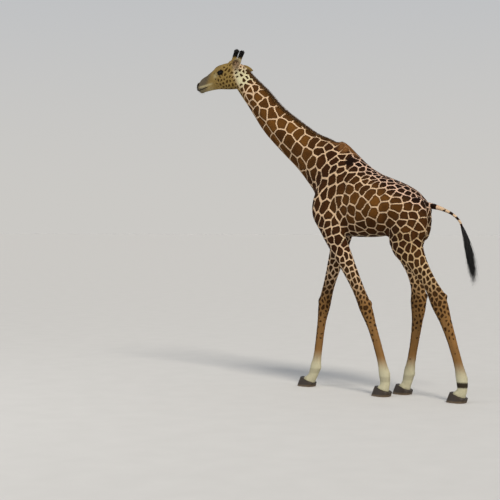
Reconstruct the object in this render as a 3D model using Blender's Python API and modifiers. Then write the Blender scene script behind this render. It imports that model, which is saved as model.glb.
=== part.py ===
"""A walking giraffe at life size, divided into its named parts as closed solids.

Metres, +Z up. The giraffe faces -Y and its left side is +X. All places below are in its own
frame, with x 0 in the plane of its spine and z 0 on the ground. At the end everything is
moved sideways, so that the origin is under the middle of its outline box.
Run with: blender --background --python part.py
"""
import math
import random

import bmesh
import bpy
import numpy as np
from mathutils import Matrix, Vector

# Gaps between neighbouring parts
GAP = 0.0003
FORM_SIDES = 28
THIN_SIDES = 10

# Trunk: place along y, top, bottom, half width, height of the widest line, fullness of the top
TRUNK = (
    (-0.72, 2.300, 2.020, 0.080, 2.17, 2.0),
    (-0.66, 2.560, 1.915, 0.150, 2.19, 2.0),
    (-0.56, 2.770, 1.830, 0.200, 2.18, 1.7),
    (-0.46, 2.834, 1.785, 0.232, 2.14, 1.55),
    (-0.36, 2.838, 1.762, 0.252, 2.12, 1.5),
    (-0.22, 2.715, 1.752, 0.276, 2.10, 1.7),
    (-0.08, 2.578, 1.748, 0.302, 2.08, 1.9),
    (0.08, 2.475, 1.752, 0.322, 2.05, 2.0),
    (0.24, 2.412, 1.775, 0.320, 2.05, 2.0),
    (0.40, 2.352, 1.820, 0.288, 2.06, 2.0),
    (0.54, 2.278, 1.875, 0.232, 2.07, 2.0),
    (0.65, 2.180, 1.930, 0.150, 2.06, 2.0),
    (0.73, 2.100, 1.980, 0.070, 2.04, 2.0),
)

# Neck: centre x, y, z, half width, half depth
NECK = (
    (0.000, -0.10, 2.230, 0.165, 0.215),
    (0.000, -0.38, 2.375, 0.222, 0.325),
    (0.000, -0.608, 2.561, 0.203, 0.302),
    (0.005, -0.842, 2.719, 0.168, 0.230),
    (0.013, -1.065, 2.885, 0.143, 0.203),
    (0.024, -1.325, 3.105, 0.121, 0.174),
    (0.033, -1.522, 3.342, 0.106, 0.148),
    (0.042, -1.675, 3.508, 0.097, 0.127),
    (0.050, -1.800, 3.655, 0.086, 0.112),
)
NECK_BASE = 2.45
NECK_TOP = 6.80

# Head: its own frame has u forward along the face, w up from it and x to its left
HEAD_ORIGIN = Vector((0.055, -1.798, 3.690))
HEAD_YAW = math.radians(5)
HEAD_PITCH = math.radians(20)
# place along the head, top, bottom, half width, height of the widest line, fullness
HEAD = (
    (-0.090, 0.070, -0.130, 0.070, -0.020, 2.0),
    (-0.050, 0.115, -0.160, 0.084, 0.010, 2.1),
    (0.020, 0.160, -0.168, 0.094, 0.040, 2.2),
    (0.100, 0.188, -0.152, 0.100, 0.060, 2.3),
    (0.180, 0.203, -0.124, 0.100, 0.080, 2.3),
    (0.250, 0.202, -0.094, 0.092, 0.085, 2.3),
    (0.320, 0.189, -0.062, 0.074, 0.080, 2.3),
    (0.400, 0.171, -0.036, 0.058, 0.077, 2.3),
    (0.480, 0.152, -0.018, 0.049, 0.073, 2.4),
    (0.540, 0.138, -0.006, 0.047, 0.069, 2.5),
    (0.590, 0.119, 0.008, 0.043, 0.066, 2.4),
    (0.614, 0.094, 0.032, 0.027, 0.064, 2.0),
)
# swellings of the head, mirrored: place across, along, up, then three half axes
HEAD_FORMS = (
    (0.068, 0.180, 0.112, 0.040, 0.070, 0.050),
    (0.040, 0.110, -0.042, 0.048, 0.125, 0.090),
    (0.046, 0.045, 0.130, 0.042, 0.055, 0.060),
    (0.025, 0.553, 0.098, 0.022, 0.052, 0.028),
    (0.064, -0.005, 0.088, 0.034, 0.042, 0.042),
)
# swellings in the middle of the head: brow lump, upper lip, lower lip, bridge of the nose
HEAD_MIDDLE_FORMS = (
    (0.000, 0.240, 0.187, 0.042, 0.080, 0.026),
    (0.000, 0.584, 0.066, 0.039, 0.038, 0.030),
    (0.000, 0.556, 0.020, 0.033, 0.048, 0.025),
    (0.000, 0.440, 0.130, 0.030, 0.120, 0.034),
)
EYE_PLACE = (0.085, 0.193, 0.094)
EYE_RADIUS = 0.029
LID_WIDTH = 0.030
LID_THICKNESS = 0.0075
LID_OPENING = 0.72
MOUTH_CORNER = (0.452, 0.022)
MOUTH_FRONT = (0.660, 0.052)
MOUTH_GAP = 0.003
NOSTRIL_PLACE = (0.031, 0.574, 0.112)
NOSTRIL_REACH = (0.005, 0.020, 0.008)

# Ossicones: foot and tip in the head's frame, for the left one
OSSICONE_FOOT = (0.052, 0.040, 0.120)
OSSICONE_TIP = (0.062, -0.094, 0.268)
OSSICONE_ROWS = (
    (0.0, 0.034), (0.30, 0.029), (0.55, 0.025), (0.72, 0.024), (0.88, 0.027), (0.97, 0.021), (1.0, 0.010),
)

# Ears: foot in the head's frame, direction out, back and up, then the turn of the cup
EAR_FOOT = (0.080, -0.006, 0.098)
EAR_LENGTH = 0.205
EAR_WIDTH = 0.088
EAR_THICKNESS = 0.006
EAR_AIM = {"left": (0.56, -0.80, 0.02), "right": (-0.93, -0.10, -0.16)}

# Legs: joints from the shoulder blade or hip down to the sole, x y z
LEGS = {
    "foreleg_left": (
        (0.120, -0.40, 2.50), (0.190, -0.53, 2.12), (0.195, -0.40, 1.82),
        (0.165, 0.015, 0.98), (0.150, 0.250, 0.25), (0.150, 0.215, 0.02),
    ),
    "foreleg_right": (
        (-0.120, -0.42, 2.50), (-0.190, -0.58, 2.13), (-0.195, -0.50, 1.86),
        (-0.165, -0.735, 0.98), (-0.150, -0.850, 0.24), (-0.150, -0.975, 0.02),
    ),
    "hind_leg_left": (
        (0.100, 0.52, 2.16), (0.158, 0.56, 1.91), (0.172, 0.560, 1.65),
        (0.160, 0.918, 1.08), (0.150, 1.195, 0.26), (0.150, 1.140, 0.02),
    ),
    "hind_leg_right": (
        (-0.100, 0.49, 2.16), (-0.155, 0.435, 1.91), (-0.172, 0.370, 1.66),
        (-0.160, 0.505, 1.06), (-0.150, 0.395, 0.25), (-0.150, 0.310, 0.02),
    ),
}
# place down the leg in joints, half depth fore and aft, half width
FORE_SHAPE = (
    (0.0, 0.090, 0.055), (0.6, 0.125, 0.075), (1.0, 0.140, 0.085), (1.5, 0.150, 0.095),
    (2.0, 0.138, 0.092), (2.2, 0.122, 0.082), (2.5, 0.092, 0.066), (2.75, 0.072, 0.056),
    (2.92, 0.072, 0.061), (3.0, 0.076, 0.065), (3.10, 0.069, 0.057), (3.25, 0.055, 0.044),
    (3.55, 0.050, 0.039), (3.82, 0.052, 0.041), (3.95, 0.062, 0.049), (4.05, 0.063, 0.051),
    (4.35, 0.055, 0.049), (4.7, 0.068, 0.058), (5.0, 0.082, 0.068),
)
HIND_SHAPE = (
    (0.0, 0.170, 0.075), (0.5, 0.218, 0.105), (1.0, 0.229, 0.118), (1.5, 0.226, 0.114),
    (2.0, 0.192, 0.100), (2.25, 0.145, 0.082), (2.5, 0.100, 0.064), (2.75, 0.082, 0.053),
    (2.92, 0.090, 0.056), (3.0, 0.098, 0.060), (3.12, 0.090, 0.055), (3.28, 0.068, 0.045),
    (3.55, 0.053, 0.038), (3.82, 0.052, 0.040), (3.95, 0.062, 0.048), (4.05, 0.063, 0.050),
    (4.35, 0.055, 0.048), (4.7, 0.068, 0.057), (5.0, 0.082, 0.067),
)
LEG_CUT = 1.665
# Muscles of a foreleg: place along its joints, offset outward, back and up, half axes, lean in degrees
FORE_FORMS = (
    (0.50, (-0.005, 0.050, 0.000), (0.080, 0.175, 0.340), -16),
    (1.00, (-0.015, 0.010, -0.040), (0.085, 0.125, 0.170), 0),
    (2.00, (0.000, 0.068, 0.045), (0.066, 0.076, 0.130), -15),
    (3.00, (0.000, -0.022, 0.015), (0.062, 0.060, 0.085), 0),
    (3.00, (0.000, 0.050, 0.030), (0.034, 0.036, 0.052), 0),
    (4.00, (0.000, 0.020, -0.005), (0.048, 0.050, 0.055), 0),
)
# The same for a hind leg: hip, buttock, flank fold, heel, hock and fetlock
HIND_FORMS = (
    (0.00, (0.015, -0.160, 0.085), (0.095, 0.160, 0.085), -18),
    (0.00, (-0.020, 0.055, -0.130), (0.090, 0.125, 0.170), 0),
    (1.60, (-0.030, -0.200, 0.100), (0.050, 0.130, 0.150), 25),
    (3.00, (0.000, 0.076, 0.036), (0.032, 0.038, 0.044), -20),
    (3.03, (0.000, 0.000, 0.000), (0.059, 0.082, 0.090), 0),
    (4.00, (0.000, 0.020, -0.005), (0.047, 0.050, 0.055), 0),
)
# Tendon above the heel: its two ends from the stifle-to-hock line, thickness at each
TENDON_TOP = (2.45, (0.0, 0.030, 0.015), 0.040)
TENDON_HEEL = (3.00, (0.0, 0.076, 0.038), 0.029)
BRISKET = ((0.0, -0.575, 2.045), (0.150, 0.140, 0.260))

# Feet: two claws each, on a sole that narrows to the toe
FOOT_FRONT = 0.122
FOOT_BACK = 0.100
CLAW_WIDTH = 0.080
CLEFT = 0.007
CORONET_HEIGHT = 0.088
CORONET_SLOPE = 0.36

# Tail: path, half thickness, then its tuft of long hair
TAIL = (
    (0.000, 0.640, 2.105, 0.046), (-0.005, 0.780, 2.086, 0.033), (-0.020, 0.880, 2.054, 0.023),
    (-0.050, 0.972, 2.006, 0.018), (-0.080, 1.042, 1.935, 0.016), (-0.095, 1.078, 1.845, 0.014),
)
TUFT_CORE = 0.24
TUFT_CORE_RADIUS = 0.017
TUFT_LOCKS = 12
TUFT_REACH = (0.34, 0.52)
TUFT_SPREAD = 0.17
TUFT_FALL = (0.12, -0.16, -0.30)
TUFT_LOCK = (0.042, 0.015, 4)
TUFT_SEED = 2

# Mane: a low ridge down the back of the neck, and three rows of upright locks that stand on it
MANE_START = 7.90
MANE_END = 1.75
MANE_HEIGHT = 0.056
MANE_WIDTH = 0.015
MANE_ROOT = 0.020
MANE_CORE = 0.45
MANE_LOCKS = 13
MANE_ROWS = (-1, 0, 1)
MANE_LEAN = 0.28
MANE_SWEEP = 0.40
MANE_LOCK = (0.084, 0.013, 3)
MANE_SEED = 5

# Fineness of the modelled skin before and after it is thinned out, and the steps that round it
BODY_GRAIN = 0.013
HEAD_GRAIN = 0.0052
BODY_ROUNDING = 14
HEAD_ROUNDING = 9
BROAD_ROUNDING = 46
BODY_TRIANGLES = 6000
HEAD_TRIANGLES = 6250

COLOURS = {
    "hide": ((0.40, 0.22, 0.09), 0.75),
    "pale_hide": ((0.62, 0.47, 0.30), 0.75),
    "face": ((0.45, 0.31, 0.17), 0.7),
    "horn": ((0.05, 0.04, 0.035), 0.55),
    "hair": ((0.045, 0.025, 0.015), 0.6),
    "eye": ((0.012, 0.008, 0.006), 0.08),
}


def clear_scene():
    for old in list(bpy.data.objects):
        bpy.data.objects.remove(old, do_unlink=True)


def finish_material(name):
    """A plain Principled material in one of the named colours."""
    if name in bpy.data.materials:
        return bpy.data.materials[name]
    colour, roughness = COLOURS[name]
    material = bpy.data.materials.new(name)
    material.use_nodes = True
    shader = material.node_tree.nodes["Principled BSDF"]
    shader.inputs["Base Color"].default_value = (*colour, 1.0)
    shader.inputs["Roughness"].default_value = roughness
    shader.inputs["Metallic"].default_value = 0.0
    return material


def as_object(name, shape, colour="hide"):
    """Turns a bmesh into an object in the giraffe's collection, with its material."""
    mesh = bpy.data.meshes.new(name)
    shape.to_mesh(mesh)
    shape.free()
    return mesh_object(name, mesh, colour)


def mesh_object(name, mesh, colour="hide"):
    body = bpy.data.objects.new(name, mesh)
    mesh.materials.clear()
    mesh.materials.append(finish_material(colour))
    bpy.data.collections["giraffe"].objects.link(body)
    return body


def evaluated(body):
    """The object's mesh as its modifiers leave it."""
    graph = bpy.context.evaluated_depsgraph_get()
    graph.update()
    return bpy.data.meshes.new_from_object(body.evaluated_get(graph))


def apply_modifiers(body):
    done = evaluated(body)
    old = body.data
    body.modifiers.clear()
    body.data = done
    bpy.data.meshes.remove(old)
    return body


def remove(body):
    bpy.data.objects.remove(body, do_unlink=True)


# Curves through rows of numbers

def at(rows, place):
    """The row at a place between rows, on a smooth curve through them; places count rows."""
    last = len(rows) - 1
    index = min(max(int(math.floor(place)), 0), last - 1)
    t = place - index
    second = np.array(rows[index], dtype=float)
    third = np.array(rows[index + 1], dtype=float)
    first = np.array(rows[index - 1], dtype=float) if index > 0 else 2 * second - third
    fourth = np.array(rows[index + 2], dtype=float) if index + 2 <= last else 2 * third - second
    start = (third - first) / 2
    end = (fourth - second) / 2
    square = t * t
    cube = square * t
    return ((2 * cube - 3 * square + 1) * second + (cube - 2 * square + t) * start
            + (3 * square - 2 * cube) * third + (cube - square) * end)


def by_first(rows, value):
    """The row whose first number is value, read between rows on a smooth curve."""
    keys = [row[0] for row in rows]
    index = min(max(int(np.searchsorted(keys, value)) - 1, 0), len(rows) - 2)
    t = (value - keys[index]) / (keys[index + 1] - keys[index])
    return at(rows, index + t)


def ring(centre, side, up, half_width, above, below, fullness=2.0, lower_fullness=2.0):
    """Points round one section; above and below are its reach along up and against it."""
    points = []
    for step in range(FORM_SIDES):
        turn = 2 * math.pi * step / FORM_SIDES
        across = math.cos(turn)
        rise = math.sin(turn)
        power = 2 / (fullness if rise > 0 else lower_fullness)
        reach = above if rise > 0 else below
        x = half_width * math.copysign(abs(across) ** power, across)
        z = reach * math.copysign(abs(rise) ** power, rise)
        points.append(centre + side * x + up * z)
    return points


def thin_ring(centre, side, up, radius):
    """A round section with few sides."""
    turns = [2 * math.pi * step / THIN_SIDES for step in range(THIN_SIDES)]
    return [centre + (side * math.cos(turn) + up * math.sin(turn)) * radius for turn in turns]


def add_loft(shape, rings, tip=None):
    """Adds a closed form through a row of rings; its far end is a flat face, or runs to a tip."""
    loops = [[shape.verts.new(point) for point in points] for points in rings]
    count = len(loops[0])
    for first, second in zip(loops, loops[1:]):
        for index in range(count):
            after = (index + 1) % count
            shape.faces.new((first[index], first[after], second[after], second[index]))
    shape.faces.new(list(reversed(loops[0])))
    if tip is None:
        shape.faces.new(loops[-1])
        return
    point = shape.verts.new(tip)
    for index in range(count):
        shape.faces.new((loops[-1][index], loops[-1][(index + 1) % count], point))


def add_ball(shape, centre, reach, turn=Matrix.Identity(3)):
    """Adds an ellipsoid; turn is its rotation and reach its three half axes."""
    place = Matrix.Translation(centre) @ turn.to_4x4() @ Matrix.Diagonal((*reach, 1.0))
    bmesh.ops.create_uvsphere(shape, u_segments=24, v_segments=14, radius=1.0, matrix=place)


def tipped(angle):
    """A turn about the x axis, in degrees; a form's top leans towards -Y as it grows."""
    return Matrix.Rotation(math.radians(angle), 3, "X")


# Forms of the body

def head_point(across, along, up):
    """A place in the giraffe's frame from one in the head's."""
    return HEAD_ORIGIN + head_turn() @ Vector((across, -along, up))


def head_turn():
    return Matrix.Rotation(HEAD_YAW, 3, "Z") @ Matrix.Rotation(HEAD_PITCH, 3, "X")


def neck_frame(place):
    """Centre, side, back-of-neck direction, half width and half depth at a place along the neck."""
    x, y, z, width, depth = at(NECK, place)
    forward = Vector(at(NECK, place + 0.02)[:3]) - Vector(at(NECK, place - 0.02)[:3])
    forward.normalize()
    side = forward.cross(Vector((0, 0, 1))).normalized() * -1
    back = side.cross(forward) * -1
    if back.z < 0:
        back = -back
    return Vector((x, y, z)), side, back, width, depth


def add_trunk(shape):
    rings = []
    steps = 40
    for step in range(steps + 1):
        y = TRUNK[0][0] + (TRUNK[-1][0] - TRUNK[0][0]) * step / steps
        _, top, bottom, width, widest, fullness = by_first(TRUNK, y)
        rings.append(ring(Vector((0, y, widest)), Vector((1, 0, 0)), Vector((0, 0, 1)),
                          width, top - widest, widest - bottom, fullness, 2.2))
    add_loft(shape, rings)


def add_neck(shape):
    rings = []
    steps = 42
    for step in range(steps + 1):
        centre, side, back, width, depth = neck_frame((len(NECK) - 1) * step / steps)
        rings.append(ring(centre, side, back, width, depth, depth, 1.8, 2.1))
    add_loft(shape, rings)


def add_leg(shape, joints, sections):
    """Adds one limb along its joints; the sections stand square to its path."""
    rings = []
    steps = 70
    for step in range(steps + 1):
        place = sections[-1][0] * step / steps
        _, depth, width = by_first(sections, place)
        centre = Vector(at(joints, place))
        down = (Vector(at(joints, place + 0.02)) - Vector(at(joints, place - 0.02))).normalized()
        front = down.cross(Vector((1, 0, 0))).normalized()
        side = front.cross(down)
        rings.append(ring(centre, side, front, width, depth, depth, 2.2, 2.2))
    add_loft(shape, rings)


def joint_place(joints, place):
    """A place on the straight lines from joint to joint."""
    index = min(int(place), len(joints) - 2)
    return Vector(joints[index]).lerp(Vector(joints[index + 1]), place - index)


def leg_place(joints, place, offset):
    """A place beside the joints, with its offset given outward, back and up."""
    outward = math.copysign(1, joints[0][0])
    return joint_place(joints, place) + Vector((offset[0] * outward, offset[1], offset[2]))


def add_muscles(shape, joints, forms):
    for place, offset, reach, lean in forms:
        add_ball(shape, leg_place(joints, place, offset), reach, tipped(lean))


def add_tendon(shape, joints):
    """The cord that runs down the back of a hind leg to its heel."""
    top = leg_place(joints, *TENDON_TOP[:2])
    heel = leg_place(joints, *TENDON_HEEL[:2])
    aim = (heel - top).normalized()
    front = aim.cross(Vector((1, 0, 0))).normalized()
    rings = []
    steps = 8
    for step in range(steps + 1):
        share = step / steps
        radius = TENDON_TOP[2] + (TENDON_HEEL[2] - TENDON_TOP[2]) * share
        rings.append(ring(top.lerp(heel, share), Vector((1, 0, 0)), front, radius * 0.8, radius, radius))
    add_loft(shape, rings)


def add_head(shape):
    rings = []
    steps = 46
    turn = head_turn()
    for step in range(steps + 1):
        along = HEAD[0][0] + (HEAD[-1][0] - HEAD[0][0]) * step / steps
        _, top, bottom, width, widest, fullness = by_first(HEAD, along)
        rings.append(ring(head_point(0, along, widest), turn @ Vector((1, 0, 0)), turn @ Vector((0, 0, 1)),
                          width, top - widest, widest - bottom, fullness, fullness))
    add_loft(shape, rings)
    for across, along, up, *reach in HEAD_FORMS:
        add_ball(shape, head_point(across, along, up), reach, turn)
        add_ball(shape, head_point(-across, along, up), reach, turn)
    for across, along, up, *reach in HEAD_MIDDLE_FORMS:
        add_ball(shape, head_point(across, along, up), reach, turn)


def lid_ring(side):
    """A rim of lids round the eye, wider than it is high."""
    across, along, up = EYE_PLACE
    aim = head_turn() @ Vector((side, -0.22, 0.06)).normalized()
    upright = head_turn() @ Vector((0, 0, 1))
    level = upright.cross(aim).normalized()
    turn = Matrix((level, aim.cross(level), aim)).transposed().to_4x4()
    centre = head_point(across * side, along, up) + aim * (EYE_RADIUS * 0.62)
    bpy.ops.mesh.primitive_torus_add(major_segments=28, minor_segments=10, major_radius=LID_WIDTH,
                                     minor_radius=LID_THICKNESS)
    rim = bpy.context.active_object
    rim.data.transform(Matrix.Translation(centre) @ turn @ Matrix.Diagonal((1, LID_OPENING, 1, 1)))
    return rim


def settle(body, pairs):
    """Rounds creases without shrinking the form: each pair of steps smooths and then grows back."""
    for index in range(pairs):
        for factor in (0.50, -0.53):
            step = body.modifiers.new("settle", "SMOOTH")
            step.factor = factor
            step.iterations = 1


def broaden(body, weight, steps):
    """Rounds the broad parts further; weight gives how far each place takes part."""
    group = body.vertex_groups.new(name="broad")
    for vertex in body.data.vertices:
        group.add([vertex.index], weight(vertex.co), "REPLACE")
    step = body.modifiers.new("broaden", "SMOOTH")
    step.factor = 0.5
    step.iterations = steps
    step.vertex_group = "broad"
    apply_modifiers(body)
    body.vertex_groups.clear()


def fused(name, shape, grain, pairs, triangles, weight, extras=()):
    """Melts overlapping forms into one skin, rounds it and thins it to a number of triangles."""
    for extra in extras:
        shape.from_mesh(extra.data)
        remove(extra)
    bmesh.ops.recalc_face_normals(shape, faces=shape.faces)
    body = as_object(name, shape)
    remesh = body.modifiers.new("skin", "REMESH")
    remesh.mode = "VOXEL"
    remesh.voxel_size = grain
    settle(body, pairs)
    apply_modifiers(body)
    broaden(body, weight, BROAD_ROUNDING)
    faces = sum(len(face.vertices) - 2 for face in body.data.polygons)
    thin = body.modifiers.new("thin", "DECIMATE")
    thin.ratio = min(1.0, triangles / faces)
    thin.use_collapse_triangulate = True
    return apply_modifiers(body)


# Cutting and joining

def half_of(name, body, point, normal, colour="hide"):
    """The part of a closed body on the side that normal points to, closed by a flat cap."""
    shape = bmesh.new()
    shape.from_mesh(body.data)
    cut = bmesh.ops.bisect_plane(shape, geom=shape.verts[:] + shape.edges[:] + shape.faces[:], dist=1e-6,
                                 plane_co=point, plane_no=normal, clear_inner=True)
    rim = [item for item in cut["geom_cut"] if isinstance(item, bmesh.types.BMEdge)]
    caps = bmesh.ops.holes_fill(shape, edges=rim, sides=0)
    bmesh.ops.triangulate(shape, faces=caps["faces"])
    bmesh.ops.recalc_face_normals(shape, faces=shape.faces)
    return as_object(name, shape, colour)


def islands(shape):
    """The groups of faces that hang together."""
    left = set(shape.faces)
    groups = []
    while left:
        front = [left.pop()]
        group = set(front)
        while front:
            face = front.pop()
            for edge in face.edges:
                for near in edge.link_faces:
                    if near in left:
                        left.discard(near)
                        group.add(near)
                        front.append(near)
        groups.append(group)
    return groups


def keep_island(body, choose):
    """Keeps one closed surface of an object, the one that choose ranks highest."""
    shape = bmesh.new()
    shape.from_mesh(body.data)
    groups = islands(shape)
    best = max(groups, key=choose)
    drop = [face for group in groups if group is not best for face in group]
    bmesh.ops.delete(shape, geom=drop, context="FACES")
    shape.to_mesh(body.data)
    shape.free()
    return body


def in_triangles(body):
    """Splits every face of a body into triangles, so that thin faces are divided cleanly."""
    shape = bmesh.new()
    shape.from_mesh(body.data)
    bmesh.ops.triangulate(shape, faces=shape.faces)
    shape.to_mesh(body.data)
    shape.free()


def near_to(point):
    """Ranks a surface by how close its middle comes to a point."""
    def rank(group):
        middle = sum((face.calc_center_median() for face in group), Vector()) / len(group)
        return -(middle - Vector(point)).length
    return rank


def combine(body, operation, others, solver="EXACT"):
    """Joins or cuts a body with a list of others, which are then removed."""
    tools = bpy.data.collections.new("tools")
    bpy.context.scene.collection.children.link(tools)
    for other in others:
        tools.objects.link(other)
        other.hide_render = True
        other.display_type = "WIRE"
    step = body.modifiers.new("combine", "BOOLEAN")
    step.operation = operation
    step.solver = solver
    step.operand_type = "COLLECTION"
    step.collection = tools
    apply_modifiers(body)
    for other in others:
        remove(other)
    bpy.data.collections.remove(tools)
    return body


def swollen_copy(body):
    """A copy of a body grown by the gap, to cut its neighbours with."""
    copy = mesh_object(body.name + "_cutter", body.data.copy())
    grow = copy.modifiers.new("grow", "DISPLACE")
    grow.strength = GAP
    grow.mid_level = 0.0
    return apply_modifiers(copy)


# Parts

def ramp(value, low, high):
    """0 below low, 1 above high and a straight line between; low may be the larger one."""
    return min(max((value - low) / (high - low), 0.0), 1.0)


def broad_body(place):
    """The trunk and the root of the neck, but not the legs or the head."""
    return ramp(place.z, 1.55, 1.90) * ramp(place.z, 3.20, 2.80)


def broad_head(place):
    """Cheeks, nape and neck, clear of eyes, horns and mouth."""
    clear = 1.0
    for side in (1, -1):
        eye_place = head_point(EYE_PLACE[0] * side, EYE_PLACE[1], EYE_PLACE[2])
        clear = min(clear, ramp((place - eye_place).length, 0.055, 0.095))
    along = -(head_turn().transposed() @ (place - HEAD_ORIGIN)).y
    return clear * ramp(along, 0.42, 0.30)


def body_skin():
    """The whole body in one skin: trunk, neck, legs and a first head."""
    shape = bmesh.new()
    add_trunk(shape)
    add_neck(shape)
    add_head(shape)
    add_ball(shape, Vector(BRISKET[0]), BRISKET[1])
    for name, joints in LEGS.items():
        if name.startswith("fore"):
            add_leg(shape, joints, FORE_SHAPE)
            add_muscles(shape, joints, FORE_FORMS)
        else:
            add_leg(shape, joints, HIND_SHAPE)
            add_muscles(shape, joints, HIND_FORMS)
            add_tendon(shape, joints)
    return fused("body_skin", shape, BODY_GRAIN, BODY_ROUNDING, BODY_TRIANGLES, broad_body)


def head_skin():
    """Head and upper neck again, in a finer grain."""
    shape = bmesh.new()
    add_neck(shape)
    add_head(shape)
    rims = (lid_ring(1), lid_ring(-1))
    return fused("head_skin", shape, HEAD_GRAIN, HEAD_ROUNDING, HEAD_TRIANGLES, broad_head, rims)


def eye(side, name):
    shape = bmesh.new()
    across, along, up = EYE_PLACE
    centre = head_point(across * side, along, up)
    bmesh.ops.create_uvsphere(shape, u_segments=14, v_segments=9, radius=EYE_RADIUS,
                              matrix=Matrix.Translation(centre))
    return as_object(name, shape, "eye")


def mouth_cutter():
    """A thin curved slab from corner to corner of the mouth."""
    shape = bmesh.new()
    turn = head_turn()
    rings = []
    for step in range(9):
        share = step / 8
        along = MOUTH_CORNER[0] + (MOUTH_FRONT[0] - MOUTH_CORNER[0]) * share
        up = MOUTH_CORNER[1] + (MOUTH_FRONT[1] - MOUTH_CORNER[1]) * share - 0.010 * math.sin(math.pi * share)
        centre = head_point(0, along, up)
        side = turn @ Vector((0.09, 0, 0))
        lift = turn @ Vector((0, 0, MOUTH_GAP / 2))
        rings.append([centre - side - lift, centre + side - lift, centre + side + lift, centre - side + lift])
    add_loft(shape, rings)
    bmesh.ops.recalc_face_normals(shape, faces=shape.faces)
    return as_object("mouth_cutter", shape)


def nostril_cutter(side):
    shape = bmesh.new()
    across, along, up = NOSTRIL_PLACE
    slant = head_turn() @ Matrix.Rotation(math.radians(18) * side, 3, "Z") @ tipped(38)
    add_ball(shape, head_point(across * side, along, up), NOSTRIL_REACH, slant)
    return as_object("nostril_cutter", shape)


def ear(side, name):
    """A leaf-shaped cup, rolled to a tube at its foot and open towards its tip."""
    foot = head_point(EAR_FOOT[0] * (1 if side == "left" else -1), *EAR_FOOT[1:])
    out, back, up = EAR_AIM[side]
    aim = (head_turn() @ Vector((out, -back, up))).normalized()
    hollow = head_turn() @ Vector((out * 0.55, -0.62, -0.25))
    hollow = (hollow - aim * hollow.dot(aim)).normalized()
    across = aim.cross(hollow)
    shape = bmesh.new()
    rows = 9
    columns = 8
    grid = []
    for row in range(rows + 1):
        share = row / rows
        width = EAR_WIDTH / 2 * max(math.sin(math.pi * share ** 0.75) ** 0.7, 0.36 * (1 - share) + 0.10)
        spread = math.radians(150 - 95 * share ** 0.7)
        radius = width / max(math.sin(min(spread, math.pi / 2)), 0.3)
        line = []
        for column in range(columns + 1):
            turn = spread * (2 * column / columns - 1)
            point = foot + aim * (EAR_LENGTH * share) + across * (radius * math.sin(turn))
            point += hollow * (radius * (0.35 - math.cos(turn)))
            line.append(shape.verts.new(point))
        grid.append(line)
    for first, second in zip(grid, grid[1:]):
        for column in range(columns):
            shape.faces.new((first[column], first[column + 1], second[column + 1], second[column]))
    body = as_object(name, shape, "pale_hide")
    wall = body.modifiers.new("wall", "SOLIDIFY")
    wall.thickness = EAR_THICKNESS
    wall.offset = 0
    wall.use_even_offset = False
    return apply_modifiers(body)


def ossicone(side, name):
    sign = 1 if side == "left" else -1
    foot = head_point(OSSICONE_FOOT[0] * sign, *OSSICONE_FOOT[1:])
    tip = head_point(OSSICONE_TIP[0] * sign, *OSSICONE_TIP[1:])
    aim = (tip - foot).normalized()
    side_way = aim.orthogonal().normalized()
    shape = bmesh.new()
    rings = []
    steps = 9
    for step in range(steps + 1):
        _, radius = by_first(OSSICONE_ROWS, step / steps)
        centre = foot.lerp(tip, step / steps)
        rings.append(thin_ring(centre, side_way, aim.cross(side_way), radius))
    add_loft(shape, rings)
    bmesh.ops.recalc_face_normals(shape, faces=shape.faces)
    return as_object(name, shape, "hair")


def lock(root, aim, bend, across, length, size):
    """A flat tapered lock of hair that bends as it grows, from a small flat root to a point."""
    width, thickness, segments = size
    shape = bmesh.new()
    rings = []
    for step in range(segments):
        share = step / segments
        centre = root + (aim + bend * share) * (length * share)
        taper = (1 - share) ** 0.6 * (0.75 + 0.5 * math.sin(math.pi * min(share + 0.15, 1)))
        along = (aim + bend * 2 * share).normalized()
        wide = across * (width / 2 * taper)
        deep = along.cross(across).normalized() * (thickness / 2 * (1 - 0.6 * share))
        rings.append([centre - wide, centre + deep, centre + wide, centre - deep])
    add_loft(shape, rings, root + (aim + bend) * length)
    bmesh.ops.recalc_face_normals(shape, faces=shape.faces)
    return as_object("lock", shape, "hair")


def mane_path(place):
    """Top of the neck and its directions at a place along it."""
    centre, side, back, _, depth = neck_frame(place)
    return centre + back * depth, side, back


def mane_ridge():
    """The low core of the mane, from behind the ears to the withers."""
    shape = bmesh.new()
    rings = []
    steps = 24
    for step in range(steps + 1):
        share = step / steps
        place = MANE_START + (MANE_END - MANE_START) * share
        foot, side, back = mane_path(place)
        swell = math.sin(math.pi * min(max(share, 0.04), 0.96)) ** 0.4
        rise = MANE_ROOT + MANE_HEIGHT * MANE_CORE * swell
        rings.append(ring(foot - back * MANE_ROOT, side, back, MANE_WIDTH * swell, rise, MANE_ROOT)[::3])
    add_loft(shape, rings)
    bmesh.ops.recalc_face_normals(shape, faces=shape.faces)
    return as_object("mane", shape, "hair")


def straight(body, point, normal, name, colour):
    """Trims a body to the side of a plane and drops the rest."""
    trimmed = half_of(name, body, point, normal, colour)
    remove(body)
    return trimmed


def claw(name, leg, side):
    """One claw: a flat sole, a wall that leans back, and a top that meets the leg at the coronet."""
    x, y, _ = LEGS[leg][-1]
    shape = bmesh.new()
    count = 12
    rings = []
    for height, shrink in ((0.0, 0.97), (0.06, 1.0), (0.55, 0.93), (1.0, 0.86)):
        points = []
        for step in range(count + 1):
            turn = math.pi * step / count
            reach = FOOT_FRONT if math.cos(turn) > 0 else FOOT_BACK
            along = -reach * math.copysign(abs(math.cos(turn)) ** 0.9, math.cos(turn))
            out = CLEFT / 2 + CLAW_WIDTH * math.sin(turn) ** 0.75 * (1 - 0.18 * math.cos(turn))
            along = along * shrink + 0.030 * height
            out = CLEFT / 2 + (out - CLEFT / 2) * shrink
            top = CORONET_HEIGHT - CORONET_SLOPE * along - GAP / 2
            points.append(Vector((x + side * out, y + along, top * height)))
        rings.append(points)
    add_loft(shape, rings)
    bmesh.ops.recalc_face_normals(shape, faces=shape.faces)
    return as_object(name, shape, "horn")


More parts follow.
